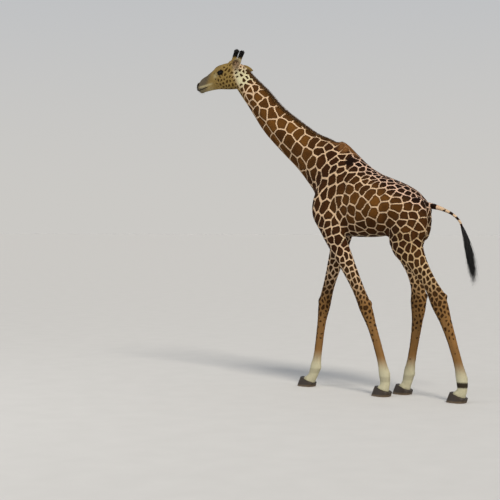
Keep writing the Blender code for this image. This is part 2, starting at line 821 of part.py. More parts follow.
def leg_parts(skin):
    """Cuts the four legs off below the belly and at their coronets, and adds the claws."""
    level = Vector((0, 0, LEG_CUT - GAP / 2))
    slope = Vector((0, CORONET_SLOPE, 1)).normalized()
    for name, joints in LEGS.items():
        leg = half_of(name, skin, level, Vector((0, 0, -1)))
        knee = Vector(joints[3])
        keep_island(leg, near_to((knee.x, knee.y, 0.9)))
        x, y, _ = joints[-1]
        coronet = Vector((x, y, CORONET_HEIGHT)) + slope * (GAP / 2)
        straight(leg, coronet, slope, name + "_trimmed", "pale_hide").name = name
        pair = name.replace("leg", "hoof")
        outward = 1 if x > 0 else -1
        claw(pair + "_outer", name, outward)
        claw(pair + "_inner", name, -outward)


def tuft_part(start, aim):
    """The tail's tuft: a short core and long locks that leave it all round and hang down."""
    shape = bmesh.new()
    rings = []
    steps = 6
    for step in range(steps):
        share = step / steps
        centre = start + (aim + Vector(TUFT_FALL) * share) * (TUFT_CORE * share)
        radius = TUFT_CORE_RADIUS * (1 - share ** 2)
        rings.append(thin_ring(centre, Vector((1, 0, 0)), Vector((0, -1, 0)), radius))
    add_loft(shape, rings, start + (aim + Vector(TUFT_FALL)) * TUFT_CORE)
    bmesh.ops.recalc_face_normals(shape, faces=shape.faces)
    core = as_object("tuft_core", shape, "hair")
    random.seed(TUFT_SEED)
    locks = []
    for index in range(TUFT_LOCKS):
        share = index / TUFT_LOCKS
        turn = 2.4 * index
        out = Vector((math.cos(turn), math.sin(turn), 0))
        root = start + (aim + Vector(TUFT_FALL) * share) * (0.01 + 0.16 * share) + out * 0.004
        spread = (out * (TUFT_SPREAD + 0.08 * random.random()) + aim).normalized()
        bend = (Vector(TUFT_FALL) - out * 0.16) * 0.6
        length = TUFT_REACH[0] + (TUFT_REACH[1] - TUFT_REACH[0]) * random.random()
        locks.append(lock(root, spread, bend, out.cross(aim).normalized(), length, TUFT_LOCK))
    combine(core, "UNION", locks, "MANIFOLD")
    straight(core, start, aim, "tuft_trimmed", "hair").name = "tail_tuft"
    in_triangles(keep_island(bpy.data.objects["tail_tuft"], len))


def tail_parts(skin_cutter):
    """The dock of the tail, and the tuft of long hair at its end."""
    shape = bmesh.new()
    rings = []
    steps = 14
    last = len(TAIL) - 1
    for step in range(steps + 1):
        place = last * step / steps
        x, y, z, radius = at(TAIL, place)
        aim = (Vector(at(TAIL, place + 0.02)[:3]) - Vector(at(TAIL, place - 0.02)[:3])).normalized()
        front = aim.cross(Vector((1, 0, 0))).normalized()
        rings.append(thin_ring(Vector((x, y, z)), front.cross(aim), front, radius))
    add_loft(shape, rings)
    bmesh.ops.recalc_face_normals(shape, faces=shape.faces)
    dock = as_object("tail", shape, "pale_hide")
    combine(dock, "DIFFERENCE", [skin_cutter])
    keep_island(dock, len)

    end = Vector(TAIL[-1][:3])
    aim = (end - Vector(at(TAIL, last - 0.1)[:3])).normalized()
    tuft_part(end + aim * GAP, aim)


def mane_locks():
    """Three rows of overlapping locks that stand up and lean back along the neck."""
    random.seed(MANE_SEED)
    locks = []
    for index in range(MANE_LOCKS):
        for row in MANE_ROWS:
            share = (index + 0.33 * (row + 1) + 0.3 * random.random()) / MANE_LOCKS
            place = MANE_START + (MANE_END - MANE_START) * min(share, 0.985)
            foot, side, back = mane_path(place)
            ahead = (mane_path(place + 0.05)[0] - mane_path(place - 0.05)[0]).normalized()
            aim = (back - ahead * MANE_SWEEP + side * (row * MANE_LEAN)).normalized()
            height = MANE_HEIGHT * (0.60 + 0.50 * math.sin(math.pi * min(share * 0.85 + 0.12, 1)) ** 0.6)
            height *= 0.9 + 0.2 * random.random()
            root = foot + side * (0.005 * row) - back * 0.004
            locks.append(lock(root, aim, ahead * -0.25, ahead, height, MANE_LOCK))
    return locks


def mane_part(cutters):
    """The mane: a low ridge with its locks, cut clear of the skin below it."""
    ridge = mane_ridge()
    combine(ridge, "UNION", mane_locks(), "MANIFOLD")
    combine(ridge, "DIFFERENCE", cutters, "MANIFOLD")
    in_triangles(keep_island(ridge, len))


def stand_over_origin():
    """Hangs every part on one empty, placed so that the origin is under the middle of their box."""
    parts = list(bpy.data.collections["giraffe"].objects)
    corners = np.array([vertex.co for part in parts for vertex in part.data.vertices])
    middle = (corners.min(axis=0) + corners.max(axis=0)) / 2
    stance = bpy.data.objects.new("stance", None)
    bpy.context.scene.collection.objects.link(stance)
    stance.location = (-middle[0], -middle[1], 0)
    for part in parts:
        part.parent = stance
    bpy.context.view_layer.update()
    return stance.location.copy()


def build():
    clear_scene()
    if "giraffe" not in bpy.data.collections:
        bpy.context.scene.collection.children.link(bpy.data.collections.new("giraffe"))

    skin = body_skin()
    fine = head_skin()
    eyes = [eye(1, "eye_left"), eye(-1, "eye_right")]
    combine(fine, "DIFFERENCE", [swollen_copy(each) for each in eyes])
    combine(fine, "DIFFERENCE", [mouth_cutter(), nostril_cutter(1), nostril_cutter(-1)])
    keep_island(fine, len)

    tail_parts(swollen_copy(skin))
    mane_part([swollen_copy(skin), swollen_copy(fine)])
    for side in ("left", "right"):
        combine(ear(side, "ear_" + side), "DIFFERENCE", [swollen_copy(fine)])
        keep_island(bpy.data.objects["ear_" + side], len)
        combine(ossicone(side, "ossicone_" + side), "DIFFERENCE", [swollen_copy(fine)])
        keep_island(bpy.data.objects["ossicone_" + side], len)

    leg_parts(skin)
    centre, _, back, _, _ = neck_frame(NECK_BASE)
    forward = (neck_frame(NECK_BASE + 0.1)[0] - neck_frame(NECK_BASE - 0.1)[0]).normalized()
    upper = half_of("upper", skin, centre + forward * (GAP / 2), forward)
    lower = half_of("lower", skin, centre - forward * (GAP / 2), -forward)
    half_of("torso", lower, Vector((0, 0, LEG_CUT + GAP / 2)), Vector((0, 0, 1)))
    top = neck_frame(NECK_TOP)[0]
    rise = (neck_frame(NECK_TOP + 0.1)[0] - neck_frame(NECK_TOP - 0.1)[0]).normalized()
    half_of("neck", upper, top - rise * (GAP / 2), -rise)
    half_of("head", fine, top + rise * (GAP / 2), rise, "face")
    for spare in (skin, fine, upper, lower):
        remove(spare)
    return stand_over_origin()


MOVED = build()
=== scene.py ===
"""The looks of the walking giraffe: one patched skin and its short coat, eyes, horns, hooves and hair.

Metres, +Z up. Places are given in the giraffe's own frame, where x is 0 in the plane of its spine:
own() turns the model's places into it. The head has a frame of its own: across, along, up.
"""
import math

import bmesh
import bpy
import numpy as np
from mathutils import Matrix, Vector, kdtree
from mathutils.bvhtree import BVHTree


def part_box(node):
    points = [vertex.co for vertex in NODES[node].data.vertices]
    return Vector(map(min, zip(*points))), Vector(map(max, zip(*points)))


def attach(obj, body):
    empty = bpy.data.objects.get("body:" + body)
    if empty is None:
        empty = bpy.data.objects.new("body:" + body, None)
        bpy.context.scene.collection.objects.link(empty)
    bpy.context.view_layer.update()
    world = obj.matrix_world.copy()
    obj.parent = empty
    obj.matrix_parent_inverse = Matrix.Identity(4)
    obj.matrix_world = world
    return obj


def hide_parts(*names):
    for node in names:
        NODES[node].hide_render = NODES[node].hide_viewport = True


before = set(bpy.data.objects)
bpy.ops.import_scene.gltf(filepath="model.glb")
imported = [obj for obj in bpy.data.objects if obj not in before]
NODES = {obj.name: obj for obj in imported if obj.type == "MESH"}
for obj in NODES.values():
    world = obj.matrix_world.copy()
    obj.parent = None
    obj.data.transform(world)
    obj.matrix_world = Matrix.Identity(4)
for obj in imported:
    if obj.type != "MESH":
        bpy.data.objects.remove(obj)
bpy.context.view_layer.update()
CLAWS = tuple(name for name in NODES if "hoof" in name)
# The two sides, by the sign of x
SIDES = {1: "left", -1: "right"}

# Head: its place and turn in the giraffe's own frame, and the places on it
HEAD_ORIGIN = np.array((0.055, -1.798, 3.690))
HEAD_YAW = math.radians(5)
HEAD_PITCH = math.radians(20)
EYE_PLACE = np.array((0.085, 0.193, 0.094))
EYE_RADIUS = 0.029
# The way the opening of the left lids looks (across, along, up), and the eyeball's (along and up,
# for one across); half the length of the opening
LID_AIM = (1.0, 0.22, 0.06)
GAZE = (0.16, -0.04)
LID_HALF = 0.024
# How far the upper and the lower lid are drawn over the eyeball, and more so at the corners; and
# the distances from the eye's middle between which that begins and is full
LIDS_DRAWN = (0.30, 0.24)
CORNERS_DRAWN = 0.26
LID_FADE = (0.046, 0.022)
MOUTH_CORNER = (0.452, 0.022)
MOUTH_FRONT = (0.660, 0.052)
# Nostrils in the side view: along and up of the middle, the way of the slit, half its length and width
NOSTRIL_PLACE = np.array((0.577, 0.096))
NOSTRIL_LINE = np.array((-0.69, 0.72))
NOSTRIL_HALF = (0.026, 0.0060)
IRIS_RADIUS = 0.0185
PUPIL_HALF = (0.0125, 0.0065)
# Lips by height off the line of the mouth: the line itself, upper lip, lower lip, each with its
# height and width
LIP_FORMS = ((0.0, -0.0050, 0.0026), (0.009, 0.0034, 0.0070), (-0.008, 0.0016, 0.0050))
# Fold of the upper lid and brow: distance from the eye's middle, height, width
BROW_FORMS = ((0.047, -0.0022, 0.0040), (0.060, 0.0036, 0.0100))
# Hollow before the eye, cheek and hollow of the nose: across, along, up, height, width
HEAD_FORMS = (
    (0.082, 0.268, 0.078, -0.0030, 0.022),
    (0.074, 0.330, 0.040, 0.0030, 0.040),
    (0.062, 0.395, 0.078, -0.0016, 0.045),
)
EAR_FOOT = np.array((0.080, -0.006, 0.098))
EAR_LENGTH = 0.205
EAR_AIM = {1: (0.56, -0.80, 0.02), -1: (-0.93, -0.10, -0.16)}
EAR_GIRTH = 0.062
EAR_INNER_END = 0.098
# Plane across the poll, by a point and its normal, where head and neck join
POLL_PLANE = (np.array((0.037, -1.600, 3.425)), np.array((0.05, -0.68, 0.73)))

# Size of the skin's faces, how often it is rounded, and the swelling that closes the solids' gaps,
# in metres
BODY_GRAIN = 0.0087
HEAD_GRAIN = 0.0029
HORN_GRAIN = 0.0030
BODY_ROUNDING = 18
HEAD_ROUNDING = 14
HORN_ROUNDING = 10
SWELL = 0.0006
# Where head and neck join: the gap that is zipped shut, and how far round it the skin is softened
JOIN_GAP = 0.006
JOIN_SOFTENED = 0.03
# How far the skin lies inside the solids, which end at the tips of the coat
COAT_DEPTH = 0.0035
FACE_DEPTH = 0.0012

# Joints of the legs from elbow or stifle down: x y z
LEGS = {
    "foreleg_left": ((0.195, -0.40, 1.82), (0.165, 0.015, 0.98),
                     (0.150, 0.250, 0.25), (0.150, 0.215, 0.02)),
    "foreleg_right": ((-0.195, -0.50, 1.86), (-0.165, -0.735, 0.98),
                      (-0.150, -0.850, 0.24), (-0.150, -0.975, 0.02)),
    "hind_leg_left": ((0.172, 0.560, 1.65), (0.160, 0.918, 1.08),
                      (0.150, 1.195, 0.26), (0.150, 1.140, 0.02)),
    "hind_leg_right": ((-0.172, 0.370, 1.66), (-0.160, 0.505, 1.06),
                       (-0.150, 0.395, 0.25), (-0.150, 0.310, 0.02)),
}
# The solids that the skin takes the place of; body and head are made apart and then joined
FLESH = ("torso", "neck", "head", "ear_left", "ear_right", "tail", *LEGS)
BODY_FLESH = ("torso", "neck", "tail", *LEGS)
HEAD_FLESH = ("head", "neck", "ear_left", "ear_right")
# Grooves between muscles: side (0 for both), width, depth, then y and z of each place along it
GROOVES = (
    (1, 0.040, 0.0135, (-0.30, 2.52), (-0.20, 2.18), (-0.22, 1.86)),
    (-1, 0.040, 0.0135, (-0.33, 2.50), (-0.25, 2.18), (-0.31, 1.90)),
    (0, 0.032, 0.0080, (-0.50, 2.66), (-0.64, 2.34)),
    (0, 0.026, 0.0060, (-0.40, 2.60), (-0.50, 2.24)),
    (1, 0.044, 0.0130, (0.25, 2.28), (0.28, 2.02), (0.35, 1.78)),
    (-1, 0.044, 0.0130, (0.19, 2.27), (0.15, 2.00), (0.19, 1.77)),
    (0, 0.050, 0.0080, (0.10, 2.30), (0.26, 2.25)),
    (1, 0.022, 0.0085, (0.63, 2.06), (0.70, 1.68)),
    (-1, 0.022, 0.0085, (0.56, 2.06), (0.57, 1.68)),
    (0, 0.022, 0.0080, (-0.68, 2.34), (-1.07, 2.75), (-1.50, 3.19), (-1.66, 3.40)),
    (0, 0.030, 0.0055, (-0.60, 2.68), (-1.08, 3.00), (-1.50, 3.42)),
    (1, 0.030, 0.0075, (-0.30, 1.98), (-0.47, 1.92)),
    (-1, 0.030, 0.0075, (-0.38, 2.00), (-0.55, 1.95)),
)
# The same down the legs: fore or hind, width, depth, first and last joint, shift back
LEG_GROOVES = (
    ("fore", 0.014, 0.0035, 0.15, 0.85, 0.006), ("fore", 0.008, 0.0034, 1.10, 1.90, 0.016),
    ("hind", 0.017, 0.0070, 0.52, 0.94, 0.038), ("hind", 0.013, 0.0030, 0.20, 0.80, -0.012),
    ("hind", 0.008, 0.0034, 1.12, 1.90, 0.014),
)
RIB_PITCH = 0.058
RIB_HEIGHT = 0.0011
# Edges of a hoof that are this sharp stay crisp, and how crisp
SOLE_EDGE = math.radians(35)
SOLE_CREASE = 0.75
# Top of the hooves: height over the sole's middle, and its fall towards the heel; and the band over
# it that the fringe grows from
CORONET = (0.088, 0.36)
FRINGE_BAND = (0.003, 0.026)

# Camera: distance, height, direction and lens found from the photo's outline, for a 500 pixel frame
CAMERA_AZIMUTH = math.radians(121)
CAMERA_DISTANCE = 15.0
CAMERA_HEIGHT = 1.854
FOCAL_PIXELS = 1335.0
FRAME_PIXELS = 500
AXIS_PIXEL = (372, 228)

# Patches: y and z of a place, then spacing, half width of the lines, stretch and its slant in degrees
PATCH_ZONES = (
    (-1.760, 3.660, 0.050, 0.0080, 1.3, 60),
    (-1.640, 3.520, 0.082, 0.0074, 1.3, 60),
    (-1.480, 3.340, 0.118, 0.0071, 1.1, -45),
    (-1.250, 3.080, 0.140, 0.0071, 1.1, -45),
    (-1.000, 2.850, 0.160, 0.0071, 1.2, -45),
    (-0.720, 2.640, 0.172, 0.0071, 1.2, 75),
    (-0.420, 2.720, 0.120, 0.0067, 1.1, 40),
    (-0.600, 2.560, 0.118, 0.0068, 1.7, 82),
    (-0.560, 2.330, 0.108, 0.0064, 2.0, 76),
    (-0.480, 2.050, 0.104, 0.0062, 1.8, 72),
    (-0.200, 2.560, 0.080, 0.0059, 1.7, 40),
    (-0.100, 2.150, 0.135, 0.0063, 1.2, 80),
    (0.120, 2.400, 0.062, 0.0055, 1.9, 42),
    (0.200, 2.200, 0.135, 0.0060, 1.1, 60),
    (0.200, 1.950, 0.145, 0.0060, 1.2, 80),
    (0.480, 2.260, 0.068, 0.0055, 1.6, 25),
    (0.540, 2.080, 0.125, 0.0059, 1.1, 0),
    (0.680, 2.080, 0.085, 0.0057, 1.1, 0),
    (0.000, 1.790, 0.120, 0.0067, 1.1, 0),
    (-0.430, 1.800, 0.085, 0.0063, 1.2, 70),
    (0.520, 1.900, 0.120, 0.0059, 1.1, 20),
    (0.560, 1.740, 0.088, 0.0057, 1.1, 30),
)
# The legs' patches by height: spacing, half width of the ground between them
LEG_ZONES = (
    (0.10, 0.034, 0.040), (0.36, 0.036, 0.022), (0.70, 0.038, 0.0125), (0.98, 0.044, 0.0076),
    (1.25, 0.054, 0.0060), (1.62, 0.078, 0.0058),
)
LEG_TOP = 1.68
# Wavering of the lines: radians of a wave in a metre and its reach in metres, and the waves' slants
WAVES = ((31.0, 0.0042), (57.0, 0.0030), (96.0, 0.0016))
WAVE_TURN = np.array(((0.9, 0.3, -0.3), (-0.4, 0.8, 0.4), (0.2, -0.5, 0.85)))
PATCH_SEED = 11
# Places tried as centres of patches, and places by which the centres are evened out
TRIAL_CENTRES = 26000
EVENING_SAMPLE = 30000
# Least room round a centre, how far it then goes towards its patch's middle, and how far it strays
# again: shares of the spacing, of the way, and of the spacing
ROOM = (0.62, 0.82)
EVENING = 0.6
STRAY = 0.05
# Centres looked at from each place, and rounding of the patches' corners
NEAR_CENTRES = 6
CORNER_ROUNDING = 0.010
# The cheek's spots: spacing, half width of the ground between them, stretch
CHEEK_ZONE = np.array((0.050, 0.0088, 1.35))
LEG_STRETCH = 1.25
# Markings with a place of their own, by y and z in the side view: the plain ridge over the withers,
# the black patch behind it, the pale place behind the ear; then the dark band's height on the pastern
WITHERS = (-0.33, 2.84)
BLOT = (-0.215, 2.60)
NAPE = (-1.735, 3.63)
BAND_HEIGHT = 0.192
# Pale place before the eye: across, along, up
BEFORE_EYE = (0.075, 0.282, 0.092)

# Hair: numbers of locks and tufts, lengths, and the way that the hair stands. The mane grows where
# the skin is nearer than this to its solid.
MANE_REACH = 0.008
MANE_HAIRS = 6400
MANE_LENGTH = 0.050
MANE_WAY = (0.0, 0.62, 0.78)
LASHES = 64
LASH_LENGTH = (0.020, 0.034)
WHISKERS = 110
WHISKER_LENGTH = (0.010, 0.030)
BRUSH_HAIRS = 620
BRUSH_LENGTH = (0.018, 0.030)
BRUSH_WAY = (0.0, 0.42, 0.90)
HORN_TUFTS = 2600
CORONET_TUFTS = 900
# Hair at the end of the tail: where it starts, the way it points and the way it falls, and the
# length and radius of the tail that it grows from
TAIL_HAIRS = 760
TAIL_LENGTH = (0.30, 0.50)
TAIL_END = np.array((-0.095, 1.078, 1.845))
TAIL_WAY = (-0.13, 0.36, -0.92)
TAIL_FALL = np.array((0.12, -0.16, -0.30))
TAIL_ROOTS = 0.17
TAIL_RADIUS = 0.012
# A tuft's root, left, back and right: shares of its length, width and height; and how deep it is sunk
TUFT_POINTS = ((-0.05, 0, 0), (0.22, 0.5, 0), (0.34, 0, 1), (0.22, -0.5, 0))
TUFT_SUNK = 0.0005
LOCK_FLATNESS = 0.45
# Half the width of a tuft's own place on the OFBake map
MAP_HALF = 0.0015

# Colours, as seen in the photo where the light is even: coat between the patches, face, patches,
# ears, hair, horn, eye, studio
CREAM = "#c6a988"
PINKISH = "#cfab95"
LEG_TAN = "#795832"
LEG_YELLOW = "#a98c5e"
SOCK = "#afa98d"
WHITE = "#c4b896"
NAPE_PALE = "#b8b28e"
OLIVE_TAN = "#80693a"
MUZZLE = "#534a3b"
BRIDGE = "#362a1c"
LIP = "#1c1611"
PALE_PATCH = "#aa9e78"
DARK_SKIN = "#0d0906"
# lighter patch colour, also laid as a painted pool of sunlight on the middle of the trunk
PATCH_LIT = "#6a4418"
PATCH_DEEP = "#331a07"
PATCH_DARK = "#170701"
# dark colour of the legs' spots, also laid as painted shade on the legs' fronts
LEG_SPOT_AND_SHADE = "#38230c"
FACE_SPOT = "#46300f"
WITHERS_TAN = "#724c28"
EAR_PALE = "#c0b088"
EAR_INSIDE = "#6b4b38"
HAIR_BASE = "#86602c"
HAIR_TIP = "#4a3013"
BRUSH = "#0d0a08"
HORN_DARK = "#1a130d"
HORN_LIGHT = "#3a2d1f"
DUST = "#8c7558"
PUPIL = "#020101"
IRIS = "#170c05"
EYE_RIM = "#0d0705"
FLOOR = "#c2bfba"
FLOOR_LIGHT = "#cac7c2"
HAZE = "#cbc9c5"
SKY = "#b3b9c2"

# Lights and floor
SUN_WAY = (0.46, 0.60, 0.66)
SUN_STRENGTH = 2.9
SUN_WIDTH = math.radians(16)
SUN_COLOUR = (1.0, 0.95, 0.87)
SCREEN_PLACE = (9.5, -6.0, 4.5)
SCREEN_AIM = (0, 0, 2.2)
SCREEN_WIDTH = 3.4
SCREEN_WATTS = 230
SCREEN_COLOUR = (0.93, 0.96, 1.0)
FLOOR_WIDTH = 600
# Haze gives way to sky up to this height, where 0 is the horizon and 1 straight up
HAZE_RISE = 0.35

# Sizes of the patterns in the materials, in millimetres. Single hairs are about 0.1 mm thick,
# too fine to show: they are drawn as coarse as a small tuft.
HAIR_MM = 1.5
FLECK_MM = 2.4
RAGGED_MM = 11
RAGGED_REACH_MM = 7
RIM_MM = 22
CLOUD_MM = 110
HORN_MOTTLE_MM = 33
GROWTH_RING_MM = 7
FLOOR_MOTTLE_MM = 330
# Dust on the hooves: up to this height, in metres, and its share at the ground
DUST_HEIGHT = 0.030
DUST_SHARE = 0.45


def linear(code):
    """Linear colour from a six-figure sRGB code."""
    values = [int(code[index:index + 2], 16) / 255 for index in (1, 3, 5)]
    return np.array([v / 12.92 if v <= 0.04045 else ((v + 0.055) / 1.055) ** 2.4 for v in values])


# Places and frames

HEAD_TURN = np.array(Matrix.Rotation(HEAD_YAW, 3, "Z") @ Matrix.Rotation(HEAD_PITCH, 3, "X"))


def head_point(across, along, up):
    """A place in the giraffe's frame from one in the head's."""
    return HEAD_ORIGIN + HEAD_TURN @ np.array((across, -along, up))


def ear_point(side, share):
    """A place on the middle line of an ear, from its foot to its tip."""
    aim = np.array(EAR_AIM[side]) / np.linalg.norm(EAR_AIM[side])
    return head_point(*(EAR_FOOT * (side, 1, 1) + aim * EAR_LENGTH * share))


def head_frame(places):
    """Across, along and up in the head's frame, for many places in the giraffe's."""
    local = (places - HEAD_ORIGIN) @ HEAD_TURN
    return np.stack((local[:, 0], -local[:, 1], local[:, 2]), axis=1)


def on_left(places):
    """The same in the head's frame, with places on the right mirrored to the left."""
    across, along, up = head_frame(places).T
    return np.stack((np.abs(across), along, up), axis=1)


def middle_of(node):
    """The middle of a solid's box."""
    low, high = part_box(node)
    return np.array((low + high) / 2)


# The giraffe's own frame is set over the model's by the solids of the eyes
SHIFT = (middle_of("eye_left") + middle_of("eye_right")) / 2 - head_point(0, *EYE_PLACE[1:])


def own(places):
    """Places in the giraffe's own frame from the model's."""
    return places - SHIFT


def own_box(node):
    """Lowest and highest corner of a solid, in the giraffe's own frame."""
    return [own(np.array(corner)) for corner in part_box(node)]


def ramp(value, low, high):
    """0 at low, 1 at high, with soft ends; low may be the larger one."""
    t = np.clip((value - low) / (high - low), 0, 1)
    return t * t * (3 - 2 * t)


def bell(value, width):
    """1 at zero, falling off on both sides."""
    return np.exp(-(value / width) ** 2)


def unit(vectors):
    """Vectors brought to length 1."""
    return vectors / np.maximum(np.linalg.norm(vectors, axis=-1, keepdims=True), 1e-9)


# Meshes as arrays

def linked(name, data):
    """A new object of the scene."""
    piece = bpy.data.objects.new(name, data)
    bpy.context.scene.collection.objects.link(piece)
    return piece


def welded(names, swell):
    """The named nodes in one mesh, with the seams of their shading welded and grown a little."""
    shape = bmesh.new()
    for name in names:
        shape.from_mesh(NODES[name].data)
    bmesh.ops.remove_doubles(shape, verts=shape.verts, dist=1e-5)
    shape.normal_update()
    for vertex in shape.verts:
        vertex.co += vertex.normal * swell
    return shape


def meshed(shape, name):
    """The mesh of a finished shape."""
    mesh = bpy.data.meshes.new(name)
    shape.to_mesh(mesh)
    shape.free()
    return mesh


def as_modified(piece):
    """The mesh of a piece with its modifiers applied."""
    graph = bpy.context.evaluated_depsgraph_get()
    return bpy.data.meshes.new_from_object(piece.evaluated_get(graph))


def remeshed(shape, grain, pairs):
    """One closed skin round overlapping forms, rounded without shrinking."""
    piece = linked("rough", meshed(shape, "rough"))
    skin = piece.modifiers.new("skin", "REMESH")
    skin.mode = "VOXEL"
    skin.voxel_size = grain
    for factor in (0.50, -0.52) * pairs:
        step = piece.modifiers.new("round", "SMOOTH")
        step.factor = factor
        step.iterations = 1
    done = as_modified(piece)
    bpy.data.objects.remove(piece)
    return done


def places_of(mesh):
    """The place of each vertex."""
    places = np.empty(len(mesh.vertices) * 3, np.float32)
    mesh.vertices.foreach_get("co", places)
    return places.reshape(-1, 3).astype(float)


def normals_of(mesh):
    """The way out of the mesh at each vertex."""
    normals = np.empty(len(mesh.vertices) * 3, np.float32)
    mesh.vertex_normals.foreach_get("vector", normals)
    return normals.reshape(-1, 3).astype(float)


def triangles_of(mesh):
    """The numbers of the three vertices of each triangle."""
    mesh.calc_loop_triangles()
    triangles = np.empty(len(mesh.loop_triangles) * 3, np.int32)
    mesh.loop_triangles.foreach_get("vertices", triangles)
    return triangles.reshape(-1, 3)


def set_places(mesh, places):
    """Moves each vertex to a new place."""
    mesh.vertices.foreach_set("co", places.astype(np.float32).ravel())
    mesh.update()


def mesh_from(name, places, triangles, normals=None):
    """A mesh from arrays of places and triangles, with its own shading normals where given."""
    mesh = bpy.data.meshes.new(name)
    mesh.vertices.add(len(places))
    mesh.vertices.foreach_set("co", places.astype(np.float32).ravel())
    mesh.loops.add(len(triangles) * 3)
    mesh.loops.foreach_set("vertex_index", triangles.astype(np.int32).ravel())
    mesh.polygons.add(len(triangles))
    mesh.polygons.foreach_set("loop_start", np.arange(0, len(triangles) * 3, 3, dtype=np.int32))
    mesh.update(calc_edges=True)
    mesh.validate()
    mesh.shade_smooth()
    if normals is not None:
        mesh.normals_split_custom_set_from_vertices(normals.astype(np.float32))
    return mesh


def put(mesh, name, values):
    """Stores one number or colour for each vertex."""
    if values.ndim == 1:
        mesh.attributes.new(name, "FLOAT", "POINT").data.foreach_set("value", values.astype(np.float32))
        return
    layer = mesh.attributes.new(name, "FLOAT_COLOR", "POINT")
    opaque = np.ones((len(values), 4), np.float32)
    opaque[:, :3] = values
    layer.data.foreach_set("color", opaque.ravel())


def put_marks(mesh, marks):
    """Stores the markings of a bare surface, with an even tone."""
    for key, values in marks.items():
        put(mesh, key, values)
    put(mesh, "tone", np.zeros(len(mesh.vertices)))


# The skin

def cut_open(mesh, point, normal):
    """The largest part of a mesh on the side that normal points to, left open at the cut."""
    shape = bmesh.new()
    shape.from_mesh(mesh)
    bmesh.ops.bisect_plane(shape, geom=shape.verts[:] + shape.edges[:] + shape.faces[:], dist=1e-6,
                           plane_co=Vector(point), plane_no=Vector(normal), clear_inner=True)
    keep_largest(shape)
    return shape


def rim_of(shape):
    """The corners along the open edges."""
    return {vertex for edge in shape.edges if len(edge.link_faces) == 1 for vertex in edge.verts}


def zip_rims(shape, first, second, point, normal):
    """Joins two open rims that face each other with a band of triangles."""
    side = Vector(normal).orthogonal().normalized()
    rise = Vector(normal).cross(side).normalized()

    def turned(vertex):
        offset = vertex.co - Vector(point)
        return math.atan2(offset.dot(rise), offset.dot(side))

    rows = [sorted(rim, key=turned) for rim in (first, second)]
    turns = [[turned(vertex) for vertex in row] for row in rows]
    for row, turn in zip(rows, turns):
        row.append(row[0])
        turn.append(turn[0] + 2 * math.pi)
    one = 0
    two = 0
    while one < len(rows[0]) - 1 or two < len(rows[1]) - 1:
        ahead_one = turns[0][one + 1] if one < len(rows[0]) - 1 else math.inf
        ahead_two = turns[1][two + 1] if two < len(rows[1]) - 1 else math.inf
        if ahead_one < ahead_two:
            corners = (rows[0][one], rows[0][one + 1], rows[1][two])
            one += 1
        else:
            corners = (rows[0][one], rows[1][two + 1], rows[1][two])
            two += 1
        if len(set(corners)) == 3 and shape.faces.get(corners) is None:
            shape.faces.new(corners)


def sculpt_head(mesh):
    """Lips, mouth line, nostrils, brows and lid folds, pressed into the head or raised from it."""
    places = own(places_of(mesh))
    across, along, up = head_frame(places).T
    push = np.zeros(len(places))

    # lips and the line between them; then the lower lip set back, the chin, the corner of the mouth
    off_line = up - mouth_line(along)
    in_mouth = ramp(along, MOUTH_CORNER[0] - 0.006, MOUTH_CORNER[0] + 0.016)
    front = ramp(along, 0.560, 0.605)
    for rise, height, width in LIP_FORMS:
        push += height * bell(off_line - rise, width) * in_mouth
    push -= 0.0050 * ramp(off_line, 0.002, -0.006) * front
    push += 0.0040 * bell(off_line + 0.026, 0.014) * bell(along - 0.575, 0.026)
    push -= 0.0030 * bell(along - MOUTH_CORNER[0] + 0.010, 0.012) * bell(off_line, 0.010)

    # slit of the nostril and its raised rim; then the muzzle's drawn-in front and the cleft of the lip
    mirrored = on_left(places)
    reach, away = nostril_offset(mirrored)
    on_side = ramp(mirrored[:, 0], 0.014, 0.026)
    push -= 0.0150 * bell(reach, NOSTRIL_HALF[0]) * bell(away, NOSTRIL_HALF[1]) * on_side
    push += 0.0046 * bell(reach, 0.030) * bell(np.abs(away) - 0.0145, 0.0062) * on_side
    push -= 0.0060 * front * ramp(mirrored[:, 0], 0.022, 0.042)
    push -= 0.0016 * bell(across, 0.0030) * ramp(along, 0.590, 0.612) * (off_line > 0)

    # brow and upper lid, cheek and nose, and last the edge of the jaw
    eye_off = mirrored - EYE_PLACE
    eye_way = np.linalg.norm(eye_off, axis=1)
    above = ramp(eye_off[:, 2], 0.0, 0.02)
    for away, height, width in BROW_FORMS:
        push += height * bell(eye_way - away, width) * above
    for *place, height, width in HEAD_FORMS:
        push += height * bell(np.linalg.norm(mirrored - place, axis=1), width)
    push -= 0.0024 * bell(np.abs(up + 0.060 - 0.25 * (along - 0.2)), 0.012) * bell(along - 0.25, 0.12)

    lids = draw_lids(eye_off) - eye_off
    lids[:, 0] *= np.where(across < 0, -1, 1)
    moved = lids * (1, -1, 1) @ HEAD_TURN.T
    set_places(mesh, places + SHIFT + moved + normals_of(mesh) * push[:, None])


def mouth_line(along):
    """Height of the line of the mouth at a place along the head."""
    share = (along - MOUTH_CORNER[0]) / (MOUTH_FRONT[0] - MOUTH_CORNER[0])
    sag = 0.010 * np.sin(np.pi * np.clip(share, 0, 1))
    return MOUTH_CORNER[1] + (MOUTH_FRONT[1] - MOUTH_CORNER[1]) * share - sag


def nostril_offset(side):
    """How far along the slit of the nostril a place lies, and how far beside it."""
    way = NOSTRIL_LINE / np.linalg.norm(NOSTRIL_LINE)
    offset = side[:, 1:] - NOSTRIL_PLACE
    return offset @ way, offset @ np.array((-way[1], way[0]))


def eye_axes():
    """The way the left eye looks, the way along its lids and the way up across them."""
    aim = unit(np.array(LID_AIM))
    level = unit(np.cross(np.array((0.0, 0.0, 1.0)), aim))
    return aim, level, np.cross(aim, level)


